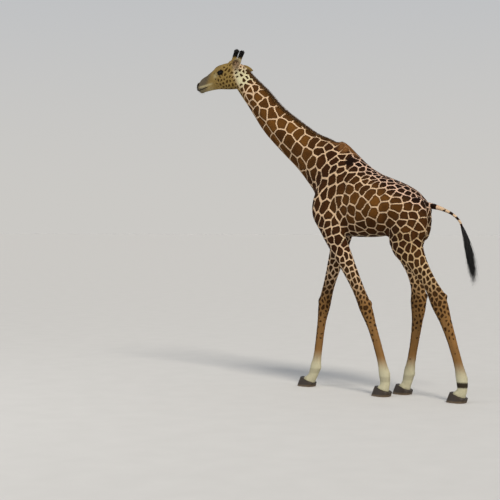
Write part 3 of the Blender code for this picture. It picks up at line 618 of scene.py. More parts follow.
def draw_lids(offsets):
    """Slides the rims of the lids over the eyeball, from a round opening to a narrow one."""
    aim, level, rise = eye_axes()
    out, over, high = offsets @ aim, offsets @ level, offsets @ rise
    around = np.hypot(over, high)
    share = ramp(around, *LID_FADE) * ramp(out, 0.0, 0.010)
    corner = np.clip(np.abs(over) / LID_HALF, 0, 1) ** 2
    close = np.where(high > 0, *LIDS_DRAWN) + CORNERS_DRAWN * corner
    high = high * (1 - share * close) + 0.0012 * share
    over = over * (1 + 0.20 * share)
    moved = out[:, None] * aim + over[:, None] * level + high[:, None] * rise
    length = np.linalg.norm(offsets, axis=1, keepdims=True)
    return unit(moved) * length


def from_path(places, points):
    """Distance in the side view from each place to a path of y and z."""
    spots = places[:, 1:]
    nearest = np.full(len(places), 9.0)
    for start, end in zip(points, points[1:]):
        start = np.array(start)
        way = np.array(end) - start
        share = np.clip((spots - start) @ way / (way @ way), 0, 1)
        nearest = np.minimum(nearest, np.linalg.norm(spots - start - share[:, None] * way, axis=1))
    return nearest


def leg_place(joints, place, shift):
    """The y and z of a place down a leg, counted in joints from the elbow or stifle, shifted back."""
    rows = np.array(joints)
    spot = [np.interp(place, range(len(rows)), rows[:, axis]) for axis in (1, 2)]
    return np.array(spot) + (shift, 0)


def sculpt_body(mesh):
    """Grooves between the muscles, faint ribs, and the tendons of the legs."""
    places = own(places_of(mesh))
    x, y, z = places.T
    push = np.zeros(len(places))
    middle = np.where(y < -0.6, 0.03 * ramp(y, -0.6, -1.5), 0.0)
    for side, width, depth, *points in GROOVES:
        reach = side * x if side else np.abs(x - middle)
        push -= depth * bell(from_path(places, points), width) * ramp(reach, 0.050, 0.085)
    ribs = np.sin((y - 0.35 * z) * 2 * math.pi / RIB_PITCH) * ramp(np.abs(x), 0.16, 0.22)
    push += RIB_HEIGHT * ribs * bell(y - 0.06, 0.17) * bell(z - 2.10, 0.17) - 0.0005 * (np.abs(x) > 0.2)
    for name, joints in LEGS.items():
        mine = (x * joints[-1][0] > 0) & (np.abs(y - leg_middle(joints, z, 1)) < 0.16) & (z < 1.75)
        side = ramp(np.abs(x - leg_middle(joints, z, 0)), 0.010, 0.022)
        for kind, width, depth, first, last, shift in LEG_GROOVES:
            if name.startswith(kind):
                points = [leg_place(joints, place, shift) for place in np.linspace(first, last, 6)]
                push -= depth * mine * side * bell(from_path(places, points), width)
    set_places(mesh, places + SHIFT + normals_of(mesh) * push[:, None])


def leg_middle(joints, heights, axis):
    """The x or y, by its axis, of a leg's middle at each height."""
    rows = np.array(joints[::-1])
    return np.interp(heights, rows[:, 2], rows[:, axis])


def make_skin():
    """Body and head in one closed surface, finer over the head, without a seam between them."""
    body = remeshed(welded(BODY_FLESH + ("head",), SWELL), BODY_GRAIN, BODY_ROUNDING)
    sculpt_body(body)
    head = remeshed(welded(HEAD_FLESH, SWELL), HEAD_GRAIN, HEAD_ROUNDING)
    sculpt_head(head)
    point = POLL_PLANE[0] + SHIFT
    normal = POLL_PLANE[1] / np.linalg.norm(POLL_PLANE[1])
    whole = bmesh.new()
    whole.from_mesh(meshed(cut_open(body, point, -normal), "open_body"))
    body_count = len(whole.verts)
    whole.from_mesh(meshed(cut_open(head, point + normal * JOIN_GAP, normal), "open_head"))
    whole.verts.ensure_lookup_table()
    whole.verts.index_update()
    rim = rim_of(whole)
    lower = [vertex for vertex in rim if vertex.index < body_count]
    upper = [vertex for vertex in rim if vertex.index >= body_count]
    zip_rims(whole, lower, upper, point, normal)
    bmesh.ops.recalc_face_normals(whole, faces=whole.faces)
    near = [vertex for vertex in whole.verts
            if abs((vertex.co - Vector(point)).dot(Vector(normal))) < JOIN_SOFTENED]
    for _ in range(8):
        bmesh.ops.smooth_vert(whole, verts=near, factor=0.5,
                              use_axis_x=True, use_axis_y=True, use_axis_z=True)
    bmesh.ops.triangulate(whole, faces=whole.faces)
    mesh = meshed(whole, "skin")
    mesh.shade_smooth()
    return mesh


def keep_largest(shape):
    """Drops every loose surface but the largest."""
    left = set(shape.faces)
    groups = []
    while left:
        front = [left.pop()]
        group = list(front)
        while front:
            for edge in front.pop().edges:
                for near in edge.link_faces:
                    if near in left:
                        left.discard(near)
                        group.append(near)
                        front.append(near)
        groups.append(group)
    groups.sort(key=len)
    for group in groups[:-1]:
        bmesh.ops.delete(shape, geom=group, context="FACES")


def inset_of(places):
    """How far the skin lies inside the solids at each place: less on face, ears and feet."""
    face = ramp(head_frame(places)[:, 1], -0.12, 0.02) * (places[:, 2] > 3.2)
    ear = np.maximum(ear_share(places, 1), ear_share(places, -1)) > 0.06
    foot = ramp(places[:, 2], 0.5, 0.15)
    depth = COAT_DEPTH + (FACE_DEPTH - COAT_DEPTH) * np.maximum(face, foot)
    return depth * (1 - ear)


# Markings, worked out for each vertex of the skin

def is_head(places):
    """Which places lie before the plane across the poll."""
    return ((places - POLL_PLANE[0]) @ POLL_PLANE[1] > 0.0) & (places[:, 2] > 3.0)


def zone_values(places):
    """Spacing, half line width and stretch of the patches at each place, and the way of the stretch."""
    anchors = np.array([zone[:2] for zone in PATCH_ZONES])
    slants = np.radians([zone[5] for zone in PATCH_ZONES])
    doubled = np.stack((np.cos(2 * slants), np.sin(2 * slants)), axis=1)
    values = np.concatenate((np.array([zone[2:5] for zone in PATCH_ZONES]), doubled), axis=1)
    off = places[:, None, 1:] - anchors[None]
    weight = 1 / ((off ** 2).sum(axis=2) + 0.002) ** 2
    body = (weight @ values) / weight.sum(axis=1, keepdims=True)
    slant = np.arctan2(body[:, 4], body[:, 3]) / 2
    heights, spacing, lines = np.array(LEG_ZONES).T
    leg = np.stack((np.interp(places[:, 2], heights, spacing), np.interp(places[:, 2], heights, lines),
                    np.full(len(places), LEG_STRETCH)), axis=1)
    low = ramp(places[:, 2], LEG_TOP + 0.06, LEG_TOP - 0.10)
    mixed = body[:, :3] * (1 - low[:, None]) + leg * low[:, None]
    slant = slant * (1 - low) + math.pi / 2 * low
    face = (ramp(head_frame(places)[:, 1], -0.06, 0.04) * is_head(places))[:, None]
    way = np.stack((np.zeros(len(places)), np.cos(slant), np.sin(slant)), axis=1)
    return mixed * (1 - face) + CHEEK_ZONE * face, way


def stretched(offsets, stretch, way):
    """Squared lengths of offsets, measured shorter along the given way."""
    along = (offsets * way).sum(axis=-1)
    return (offsets ** 2).sum(axis=-1) - (1 - 1 / stretch ** 2) * along ** 2


def waved(places):
    """Places moved a little to and fro, so that the lines between patches waver."""
    moved = places.copy()
    for index, (pitch, reach) in enumerate(WAVES):
        turn = places @ WAVE_TURN * pitch + index * 1.7
        moved += reach * np.sin(turn[:, (1, 2, 0)] + 0.7 * np.sin(turn * 0.61))
    return moved


def patch_centres(places, rng):
    """Centres spread over the skin at the spacing of each place, then evened out a little."""
    candidates = places[rng.permutation(len(places))[:TRIAL_CENTRES]]
    zones, ways = zone_values(candidates)
    luck = rng.uniform(*ROOM, len(candidates))
    kept = np.empty((len(candidates), 3))
    count = 0
    for index in range(len(candidates)):
        offset = kept[:count] - candidates[index]
        room = (zones[index, 0] * luck[index]) ** 2
        if count == 0 or stretched(offset, zones[index, 2], ways[index]).min() > room:
            kept[count] = candidates[index]
            count += 1
    centres = kept[:count]
    sample = places[rng.permutation(len(places))[:EVENING_SAMPLE]]
    zones, ways = zone_values(sample)
    nearest = nearest_centres(sample, zones[:, 2], ways, centres)[0]
    total = np.zeros((len(centres), 3))
    np.add.at(total, nearest, sample)
    share = np.bincount(nearest, minlength=len(centres))
    seen = share > 0
    centres[seen] += (total[seen] / share[seen, None] - centres[seen]) * EVENING
    spacing = zone_values(centres)[0][:, 0]
    return centres + rng.normal(0, STRAY, centres.shape) * spacing[:, None]


def nearest_centres(places, stretch, ways, centres):
    """The nearest centre to each place, and how far inside its patch the place lies."""
    tree = kdtree.KDTree(len(centres))
    for index, centre in enumerate(centres):
        tree.insert(centre, index)
    tree.balance()
    found = np.array([[hit[1] for hit in tree.find_n(place, NEAR_CENTRES)] for place in places])
    squares = stretched(centres[found] - places[:, None], stretch[:, None], ways[:, None])
    order = np.argsort(squares, axis=1)
    rows = np.arange(len(places))
    first = found[rows, order[:, 0]]
    nearest = squares[rows, order[:, 0]]
    depth = np.full(len(places), 1.0)
    for rank in (1, 2, 3):
        other = found[rows, order[:, rank]]
        apart = np.sqrt(np.maximum(stretched(centres[other] - centres[first], stretch, ways), 1e-8))
        edge = (squares[rows, order[:, rank]] - nearest) / (2 * apart)
        # soft corners: the smaller of two distances, rounded where they are alike
        close = np.clip(0.5 - (depth - edge) / CORNER_ROUNDING, 0, 1)
        depth = depth * close + edge * (1 - close) - CORNER_ROUNDING / 2 * close * (1 - close)
    return first, depth


def painted(colours, *layers):
    """Lays colours one over another, each with its share at every place."""
    for code, share in layers:
        colours = colours + (linear(code) - colours) * share[:, None]
    return colours


def from_spot(places, spot, rise=1.0):
    """Distance from a spot in the side view, with heights counted rise times."""
    return np.hypot(places[:, 1] - spot[0], rise * (places[:, 2] - spot[1]))


def markings(places, normals, rng):
    """Ground colour, patch colour and millimetres inside the patch, for each place."""
    centres = patch_centres(places, rng)
    zones, ways = zone_values(places)
    patch, depth = nearest_centres(waved(places), zones[:, 2], ways, centres)
    luck = rng.random((len(centres), 3))[patch]
    x, y, z = places.T
    across, along, up = head_frame(places).T
    head = is_head(places)
    inside = depth - zones[:, 1] + (luck[:, 0] - 0.5) * 0.008 * ramp(z, 1.5, 0.9)
    ground, spot = body_colours(places, normals, luck, inside)

    # behind the ear and under the jaw: whitish with small dark spots
    white = ramp(from_spot(places, NAPE, 1.1), 0.185, 0.070) * ramp(along, 0.080, 0.00)
    ground = painted(ground, (NAPE_PALE, 0.9 * white))
    spot = painted(spot, (PATCH_DARK, 0.6 * white))
    inside = inside - 0.0015 * white

    # the spots end before the muzzle, over the forehead and on the ears
    ground = face_colours(ground, OLIVE_TAN, places, normals, white)
    spot = face_colours(spot, FACE_SPOT, places, normals, white)
    inside = inside - head * (0.030 * ramp(along, 0.27, 0.40) + 0.030 * ramp(up, 0.13, 0.18))
    off_root = np.abs((across, along, up)).T - np.abs(EAR_FOOT) - (0.014, 0.004, 0.0)
    inside = inside - head * 0.040 * ramp(np.linalg.norm(off_root, axis=1), 0.046, 0.030)
    on_ear = np.maximum(ear_share(places, 1), ear_share(places, -1)) > 0.05
    inside = np.where(on_ear, -0.02, inside)

    # tail, and the dark band above each pastern, black on the left hind leg
    dock = ramp(y, 0.78, 0.86) * (z > 1.75)
    inside = inside - 0.016 * dock
    band = ramp(np.abs(z - BAND_HEIGHT), 0.036, 0.022)
    share = np.where((x > 0) & (y > 0.8), 0.95, 0.22)
    ground = painted(ground, (CREAM, dock), (PATCH_DARK, band * share))
    return {"ground": ground, "spot": spot, "inside": inside * 1000}


def body_colours(places, normals, luck, inside):
    """Colours of the lines and of the patches on neck, trunk and legs, with painted shade on the legs'
    fronts and painted sunlight on the trunk's middle.
    """
    x, y, z = places.T
    size_luck, lit_luck, dark_luck = luck.T
    back = ramp(z + 0.55 * y, 2.38, 2.52) * ramp(y, -0.30, -0.18)
    # painted shade: where a leg faces forward, away from the sun, its ground takes the dark spot colour
    front = ramp(-normals[:, 1], 0.00, 0.75) * ramp(z, 1.30, 1.00) * ramp(z, 0.30, 0.50)
    ridge = ramp(y, -0.10, -0.22) * ramp(y, -0.62, -0.48)
    ridge = ridge * ramp(np.abs(x), 0.075, 0.035) * ramp(z, 2.60, 2.70)
    plain = np.maximum(ramp(bell(from_spot(places, WITHERS, 0.6), 0.105), 0.35, 0.75), ridge)
    blot = ramp(bell(from_spot(places, BLOT), 0.055) * ramp(np.abs(x), 0.03, 0.07), 0.3, 0.6)
    belly = ramp(z, 1.84, 1.76) * ramp(z, 1.68, 1.72) * ramp(y, -0.35, -0.20) * ramp(y, 0.40, 0.25)
    heart = ramp(inside, 0.012, 0.048) * ramp(dark_luck, 0.25, 0.75) * ramp(z, 1.6, 1.9)
    ground = painted(
        np.tile(linear(CREAM), (len(places), 1)),
        (PINKISH, 0.9 * back),
        (LEG_YELLOW, 0.6 * ramp(z, 2.00, 1.70) * ramp(y, 0.35, 0.50)),
        (LEG_TAN, ramp(z, 1.45, 1.00)),
        # painted shade down the front of the legs
        (LEG_SPOT_AND_SHADE, 0.74 * front),
        (SOCK, ramp(z, 0.46, 0.24)),
        (WITHERS_TAN, 0.92 * plain),
        (PATCH_DARK, blot),
        (WHITE, 0.5 * belly))
    spot = painted(
        np.tile(linear(PATCH_DEEP), (len(places), 1)),
        # painted light: patches over the middle of the trunk's side are lightened, a painted pool of
        # sunlight, more on some patches than on others
        (PATCH_LIT, 0.90 * bell(z - 2.12, 0.24) * bell(y - 0.08, 0.48) * (0.4 + 0.6 * lit_luck)),
        (PATCH_LIT, (0.30 + 0.45 * lit_luck) * ramp(y, -0.45, -0.85) * ramp(z, 2.3, 2.6)),
        (PATCH_LIT, 0.35 * lit_luck * ramp(y, 0.42, 0.60)),
        (PATCH_DARK, 0.75 * back + 0.25 * dark_luck),
        (LEG_SPOT_AND_SHADE, ramp(z, LEG_TOP, LEG_TOP - 0.35)),
        (PATCH_DARK, 0.34 * heart),
        (WITHERS_TAN, 0.75 * plain),
        (PATCH_DARK, blot))
    return ground, spot * (0.84 + 0.32 * size_luck)[:, None]


def face_colours(colours, base, places, normals, white):
    """The colours with those of face and ears laid over them; base is the face's own."""
    head = is_head(places)
    side = on_left(places)
    along, up = side[:, 1], side[:, 2]
    top = ramp(normals @ (HEAD_TURN @ np.array((0, 0, 1.0))), 0.66, 0.92) * ramp(along, 0.12, 0.26)
    pale = np.linalg.norm((side - BEFORE_EYE) / (1, 1.25, 0.9), axis=1)
    streak = bell(up - 0.042 - 0.16 * (along - 0.45), 0.012)
    streak = streak * ramp(along, 0.33, 0.42) * ramp(along, 0.60, 0.54)
    off_eye = (side - EYE_PLACE) / (1.0, 1.24, 0.84)
    eye = np.linalg.norm(off_eye - (0, 0.001, 0), axis=1)
    lip = bell(up - mouth_line(along), 0.0045)
    lip = lip * ramp(along, MOUTH_CORNER[0] - 0.006, MOUTH_CORNER[0] + 0.01)
    colours = painted(
        colours,
        (base, head * ramp(along, -0.05, 0.05) * (1 - white)),
        (MUZZLE, head * ramp(along + 0.9 * (up - 0.06), 0.37, 0.50)),
        (BRIDGE, 0.70 * head * top),
        (PALE_PATCH, 0.62 * head * bell(pale, 0.030)),
        (PALE_PATCH, 0.75 * head * streak),
        (PALE_PATCH, 0.5 * head * bell(up + 0.03, 0.04) * ramp(along, 0.34, 0.44)),
        (DARK_SKIN, head * ramp(eye, 0.043, 0.035)),
        (LIP, 0.95 * head * lip),
        (DARK_SKIN, head * near_nostril(side, 0.030, 0.0085)),
        (LIP, 0.6 * head * ramp(along, 0.575, 0.610)))
    for way in SIDES:
        reach = ear_share(places, way)
        inner = ear_inside(normals, way)
        on_ear = ramp(reach, 0.02, 0.14)
        colours = painted(
            colours,
            (OLIVE_TAN, on_ear * (1 - inner)),
            (EAR_PALE, on_ear * inner),
            (EAR_INSIDE, 0.8 * on_ear * inner * ramp(reach, 0.75, 0.25)),
            (PATCH_DEEP, 0.8 * on_ear * ramp(reach, 0.80, 0.98)))
    return colours


def near_nostril(side, length, width):
    """1 on the slit of the nostril, falling to 0 round it."""
    reach, away = nostril_offset(side)
    return ramp(np.hypot(reach / length, away / width), 1.25, 0.85) * ramp(side[:, 0], 0.012, 0.024)


def ear_inside(normals, side):
    """1 on the hollow side of an ear, 0 on its back."""
    out = np.array(EAR_AIM[side])
    aim = HEAD_TURN @ (out * (1, -1, 1))
    aim = aim / np.linalg.norm(aim)
    hollow = HEAD_TURN @ np.array((out[0] * 0.55, -0.62, -0.25))
    hollow = hollow - aim * (hollow @ aim)
    hollow = hollow / np.linalg.norm(hollow)
    return ramp(normals @ hollow, -0.05, 0.25)


# Lie of the coat

class Line:
    """The middle line of a long form, found from its skin."""

    def __init__(self, places, start, end, bins=20):
        self.start = np.array(start, float)
        self.way = unit(np.array(end, float) - self.start)
        reach = (places - self.start) @ self.way
        edges = np.linspace(reach.min(), reach.max(), bins + 1)
        rows = []
        for low, high in zip(edges, edges[1:]):
            inside = (reach >= low) & (reach <= high)
            if inside.sum() > 3:
                rows.append(((low + high) / 2, *places[inside].mean(axis=0)))
        rows = np.array(rows)
        self.reach = rows[:, 0]
        self.middle = rows[:, 1:]
        self.low = reach.min()
        self.span = reach.max() - reach.min()

    def at(self, reach):
        """Places on the line by their distance along it."""
        return np.stack([np.interp(reach, self.reach, self.middle[:, axis]) for axis in range(3)], axis=1)

    def flow(self, places):
        """The direction along the line beside each place."""
        reach = (places - self.start) @ self.way
        return unit(self.at(reach + 0.04) - self.at(reach - 0.04) + self.way * 0.004)

    def unwrap(self, places):
        """A place on an unwrap of the skin round this line: how far round and how far along."""
        reach = (places - self.start) @ self.way
        offset = places - self.at(reach)
        side = unit(np.cross(self.way, (0.9, 0.1, 0.2)))
        rise = np.cross(side, self.way)
        turn = np.arctan2(offset @ rise, offset @ side) / (2 * np.pi) + 0.5
        return np.stack((0.02 + 0.96 * turn, 0.02 + 0.96 * (reach - self.low) / self.span), axis=1)


TRUNK_LINE = ((0, -0.70, 2.30), (0, 0.75, 2.05))
NECK_LINE = ((0.037, -1.60, 3.42), (0, -0.62, 2.52))
# Ends of the middle line of each region of the coat, in the order in which they are made
REGIONS = {
    "torso_left": TRUNK_LINE,
    "torso_right": TRUNK_LINE,
    "neck_left": NECK_LINE,
    "neck_right": NECK_LINE,
    "head": ((0.085, -2.36, 3.56), (0.05, -1.70, 3.70)),
    "ear_left": (ear_point(1, 0.0), ear_point(1, 1.0)),
    "ear_right": (ear_point(-1, 0.0), ear_point(-1, 1.0)),
    "foreleg_left": ((0.19, -0.40, 1.75), (0.15, 0.22, 0.05)),
    "foreleg_right": ((-0.19, -0.50, 1.75), (-0.15, -0.97, 0.05)),
    "hind_leg_left": ((0.17, 0.56, 1.75), (0.15, 1.14, 0.05)),
    "hind_leg_right": ((-0.17, 0.40, 1.75), (-0.15, 0.31, 0.05)),
    "tail": ((0.0, 0.76, 2.09), (-0.09, 1.08, 1.84)),
}
# Coat of each region, on either side: number of tufts, length, width, height of their backs
COATS = {
    "torso": (46000, 0.0165, 0.0036, 0.0014),
    "neck": (29000, 0.0150, 0.0034, 0.0014),
    "head": (40000, 0.0062, 0.0015, 0.0006),
    "ear": (7000, 0.0085, 0.0013, 0.0005),
    "foreleg": (19000, 0.0115, 0.0028, 0.0010),
    "hind_leg": (20000, 0.0115, 0.0028, 0.0010),
    "tail": (3200, 0.0150, 0.0026, 0.0010),
}
HORN_COAT = (0.0075, 0.0016, 0.0007)
CORONET_COAT = (0.021, 0.0030, 0.0012)


def region_of(places):
    """The name of the region that each place belongs to."""
    x, y, z = places.T
    left = x > 0.045 * ramp(y, -0.8, -1.6)
    names = np.where(left, "torso_left", "torso_right").astype(object)
    neck_way = unit(np.array(NECK_LINE[1]) - np.array(NECK_LINE[0]))
    neck = ((places - np.array(NECK_LINE[1])) @ neck_way < 0) & (z > 2.1) & (y < -0.3)
    names[neck & left] = "neck_left"
    names[neck & ~left] = "neck_right"
    names[is_head(places)] = "head"
    for side, hand in SIDES.items():
        names[ear_share(places, side) > 0.12] = "ear_" + hand
    low = z < LEG_TOP
    fore = (y < 0.28) & ~((x < 0) & (z < 1.2) & (y > 0.0))
    for hand, mine in (("left", x > 0), ("right", x <= 0)):
        names[low & fore & mine] = "foreleg_" + hand
        names[low & ~fore & mine] = "hind_leg_" + hand
    names[(y > 0.79) & (z > 1.75)] = "tail"
    return names


def ear_share(places, side):
    """How far along an ear each place lies, from its foot to its tip; -1 away from it."""
    foot = ear_point(side, 0.0)
    way = ear_point(side, 1.0) - foot
    reach = (places - foot) @ way / (way @ way)
    away = np.linalg.norm(places - foot - reach[:, None] * way, axis=1)
    near = (away < EAR_GIRTH) & (reach > -0.2) & (reach < 1.1)
    near &= np.abs(head_frame(places)[:, 0]) > EAR_INNER_END
    return np.where(near, reach, -1.0)


def spread(corners, shares):
    """The values of three corners mixed by their shares."""
    if corners.ndim == 3:
        shares = shares[:, :, None]
    return (corners * shares).sum(axis=1)


def tangent(flow, normals):
    """A direction laid flat on the surface."""
    return unit(flow - (flow * normals).sum(axis=1, keepdims=True) * normals)


def bake_map(mesh, seats, corners):
    """The OFBake map: each tuft or lock is a small patch at its root's place on the unwrapped skin."""
    layer = mesh.uv_layers.new(name="OFBake")
    spots = (seats[:, None] + corners[None] * MAP_HALF).reshape(-1, 2)
    order = np.empty(len(mesh.loops), np.int32)
    mesh.loops.foreach_get("vertex_index", order)
    layer.data.foreach_set("uv", spots[order].astype(np.float32).ravel())


class Surface:
    """The skin's places, directions, triangles and markings, for what grows from it."""

    def __init__(self, mesh, marks):
        self.places = own(places_of(mesh))
        self.normals = normals_of(mesh)
        self.triangles = triangles_of(mesh)
        self.marks = marks
        self.tree = BVHTree.FromPolygons(self.places.tolist(), self.triangles.tolist())

    def grow(self, chance, count, rng):
        """Random roots: places, directions out of the skin and markings."""
        first, second, third = (self.places[self.triangles[:, corner]] for corner in range(3))
        area = np.linalg.norm(np.cross(second - first, third - first), axis=1) * chance
        picked = self.triangles[rng.choice(len(area), size=count, p=area / area.sum())]
        one = np.sqrt(rng.random(count))
        two = rng.random(count)
        shares = np.stack((1 - one, one * (1 - two), one * two), axis=1)
        marks = {key: spread(values[picked], shares) for key, values in self.marks.items()}
        return spread(self.places[picked], shares), unit(spread(self.normals[picked], shares)), marks

    def inside_at(self, places):
        """How far inside a patch the skin under each place lies."""
        hits = [self.tree.find_nearest(place) for place in places.tolist()]
        corners = self.triangles[[hit[2] for hit in hits]]
        spots = np.array([tuple(hit[0]) for hit in hits])
        first, second, third = (self.places[corners[:, index]] for index in range(3))
        areas = [np.linalg.norm(np.cross(one - spots, two - spots), axis=1)
                 for one, two in ((second, third), (third, first), (first, second))]
        weights = np.stack(areas, axis=1) + 1e-12
        weights = weights / weights.sum(axis=1, keepdims=True)
        return (self.marks["inside"][corners] * weights).sum(axis=1)


def add_tufts(name, surface, grown, ways, size, line, look, rng):
    """Short flat tufts: a low ridge that widens from its root and runs out to a point."""
    roots, normals, marks = grown
    count = len(roots)
    length = size[0] * rng.uniform(0.7, 1.25, count)[:, None]
    width = size[1] * rng.uniform(0.7, 1.25, count)[:, None]
    height = size[2] * rng.uniform(0.6, 1.3, count)[:, None]
    side = np.cross(normals, ways)
    ways = unit(ways + side * rng.normal(0, 0.12, count)[:, None])
    side = unit(np.cross(normals, ways))
    sunk = roots - normals * TUFT_SUNK
    points = [sunk + ways * length * along + side * width * across + normals * height * up
              for along, across, up in TUFT_POINTS]
    tip = roots + ways * length + normals * height * 0.6
    places = np.stack((*points, tip), axis=1).reshape(-1, 3) + SHIFT
    base = np.arange(count)[:, None] * 5
    faces = np.array(((0, 2, 1), (0, 3, 2), (1, 2, 4), (2, 3, 4)))
    triangles = (base[:, :, None] + faces[None]).reshape(-1, 3)
    lean = rng.normal(0, 0.07, (count, 3))
    shade = np.stack([unit(normals + lean + side * tilt - ways * 0.10) for tilt in (0, 0.24, 0, -0.24, 0)],
                     axis=1).reshape(-1, 3)
    mesh = mesh_from(name, places, triangles, shade)
    for key in ("ground", "spot"):
        put(mesh, key, np.repeat(marks[key], 5, axis=0))
    ending = surface.inside_at(tip)
    inside = [marks["inside"] * (1 - share) + ending * share for share in (0, 0.10, 0.20, 0.10, 0.62)]
    put(mesh, "inside", np.stack(inside, axis=1).ravel())
    put(mesh, "tone", np.repeat(rng.uniform(-1, 1, count), 5))
    bake_map(mesh, line.unwrap(roots), np.array(((0, -1), (-1, 0), (0, 0), (1, 0), (0, 1))))
    dressed(linked(name, mesh), look)


def add_locks(name, roots, ways, bends, lengths, widths, rings, seats, look, rng, ripple=0.0):
    """Long tapered locks with three sides that bend as they grow; closed at both ends."""
    count = len(roots)
    side = unit(np.cross(ways, rng.normal(0, 1, (count, 3))))
    flat = unit(np.cross(ways, side))
    phase = rng.uniform(0, 2 * np.pi, count)[:, None]
    rows = []
    for step in range(rings):
        share = step / rings
        middle = roots + (ways + bends * share) * (lengths[:, None] * share)
        middle = middle + side * (ripple * share * np.sin(phase + 5 * share))
        swell = 0.55 + 0.45 * math.sin(math.pi * min(share * 1.4 + 0.1, 1))
        taper = widths[:, None] * swell * (1 - share) ** 0.5
        for turn in (0, 2 * math.pi / 3, 4 * math.pi / 3):
            rows.append(middle + side * taper * math.cos(turn)
                        + flat * taper * LOCK_FLATNESS * math.sin(turn))
    rows.append(roots + (ways + bends) * lengths[:, None])
    points = rings * 3 + 1
    places = np.stack(rows, axis=1).reshape(-1, 3) + SHIFT
    faces = [(0, 2, 1)]
    for step in range(rings - 1):
        for corner in range(3):
            low = step * 3 + corner
            low_next = step * 3 + (corner + 1) % 3
            faces.append((low, low_next, low + 3))
            faces.append((low_next, low_next + 3, low + 3))
    last = (rings - 1) * 3
    for corner in range(3):
        faces.append((last + corner, last + (corner + 1) % 3, points - 1))
    triangles = (np.arange(count)[:, None, None] * points + np.array(faces)[None]).reshape(-1, 3)
    mesh = mesh_from(name, places, triangles)
    rise = np.repeat(np.arange(rings) / rings, 3).tolist() + [1.0]
    put(mesh, "rise", np.tile(np.array(rise), count))
    put(mesh, "tone", np.repeat(rng.uniform(-1, 1, count), points))
    share = np.linspace(0, 2 * np.pi, points, endpoint=False)
    bake_map(mesh, seats, np.stack((np.cos(share), np.sin(share)), axis=1))
    return dressed(linked(name, mesh), look)


# Materials

def node(tree, kind, inputs=None, output=0, **settings):
    """Adds a shader node with its settings, links or sets its inputs, and gives one of its outputs."""
    made = tree.nodes.new("ShaderNode" + kind)
    for key, value in settings.items():
        setattr(made, key, value)
    for key, value in (inputs or {}).items():
        socket = made.inputs[key]
        if isinstance(value, bpy.types.NodeSocket):
            tree.links.new(value, socket)
        else:
            socket.default_value = value
    return made.outputs[output]


def material(name, constants):
    """A new material, its node tree and its shader, with the shader's constants set on its own sockets."""
    made = bpy.data.materials.new(name)
    made.use_nodes = True
    shader = made.node_tree.nodes["Principled BSDF"]
    for key, value in constants.items():
        shader.inputs[key].default_value = value
    return made, made.node_tree, shader


def per_metre(size):
    """A noise texture's scale for features of so many millimetres."""
    return 1000 / size


def full(code):
    """Linear colour with full opacity, as a shader's socket takes it."""
    return (*linear(code), 1.0)


def coat_material():
    """Giraffe's coat: hair a few millimetres long that lies flat, nearly matt, in two colours.

    To the eye: patches with ragged edges, darker at the rim, each a little uneven, with a fine grain.
    """
    made, tree, shader = material("short_coat", {"Roughness": 0.70, "Specular IOR Level": 0.06,
                                                 "Sheen Weight": 0.02, "Sheen Roughness": 0.4})
    place = node(tree, "TexCoord", output="Object")
    ground, spot = (node(tree, "Attribute", attribute_name=name) for name in ("ground", "spot"))
    inside, tone = (node(tree, "Attribute", output="Fac", attribute_name=name)
                    for name in ("inside", "tone"))
    ragged, cloud, fleck, fibre = (
        node(tree, "TexNoise", {"Vector": place, "Scale": per_metre(size), "Detail": detail})
        for size, detail in ((RAGGED_MM, 3.0), (CLOUD_MM, 4.0), (FLECK_MM, 2.0), (HAIR_MM, 3.0)))

    # the patch's edge wanders by a few millimetres, and its rim is darker than its middle
    wander = node(tree, "Math", {0: ragged, 1: 0.5}, operation="SUBTRACT")
    edge = node(tree, "Math", {0: wander, 1: RAGGED_REACH_MM, 2: inside}, operation="MULTIPLY_ADD")
    mask = node(tree, "MapRange", {"Value": edge, "From Min": -1.2, "From Max": 1.6},
                interpolation_type="SMOOTHSTEP")
    rim = node(tree, "MapRange", {"Value": edge, "From Max": RIM_MM, "To Min": 0.72, "To Max": 1.10},
               interpolation_type="SMOOTHSTEP")
    rimmed = node(tree, "VectorMath", {0: spot, "Scale": rim}, operation="SCALE")
    both = node(tree, "Mix", {"Factor": mask, "A": ground, "B": rimmed}, "Result", data_type="RGBA")

    # uneven over the width of a hand, from tuft to tuft and from fleck to fleck
    gain = 0.61
    for value, share in ((cloud, 0.42), (fleck, 0.36), (tone, 0.10)):
        gain = node(tree, "Math", {0: value, 1: share, 2: gain}, operation="MULTIPLY_ADD")
    colour = node(tree, "VectorMath", {0: both, "Scale": gain}, operation="SCALE")
    tree.links.new(colour, shader.inputs["Base Color"])
    bump = node(tree, "Bump", {"Height": fibre, "Strength": 0.5, "Distance": 0.0010})
    tree.links.new(bump, shader.inputs["Normal"])
    return made


def hair_material(name, base, tip):
    """Stiff hair of mane, tail, lashes and horn brushes: glossier than the coat, lighter at the root."""
    made, tree, shader = material(name, {"Roughness": 0.48, "Specular IOR Level": 0.4})
    rise, tone = (node(tree, "Attribute", output="Fac", attribute_name=key) for key in ("rise", "tone"))
    share = node(tree, "MapRange", {"Value": rise, "From Min": 0.10, "From Max": 0.65})
    mix = node(tree, "Mix", {"Factor": share, "A": full(base), "B": full(tip)}, "Result", data_type="RGBA")
    gain = node(tree, "Math", {0: tone, 1: 0.35, 2: 1.0}, operation="MULTIPLY_ADD")
    colour = node(tree, "VectorMath", {0: mix, "Scale": gain}, operation="SCALE")
    tree.links.new(colour, shader.inputs["Base Color"])
    return made


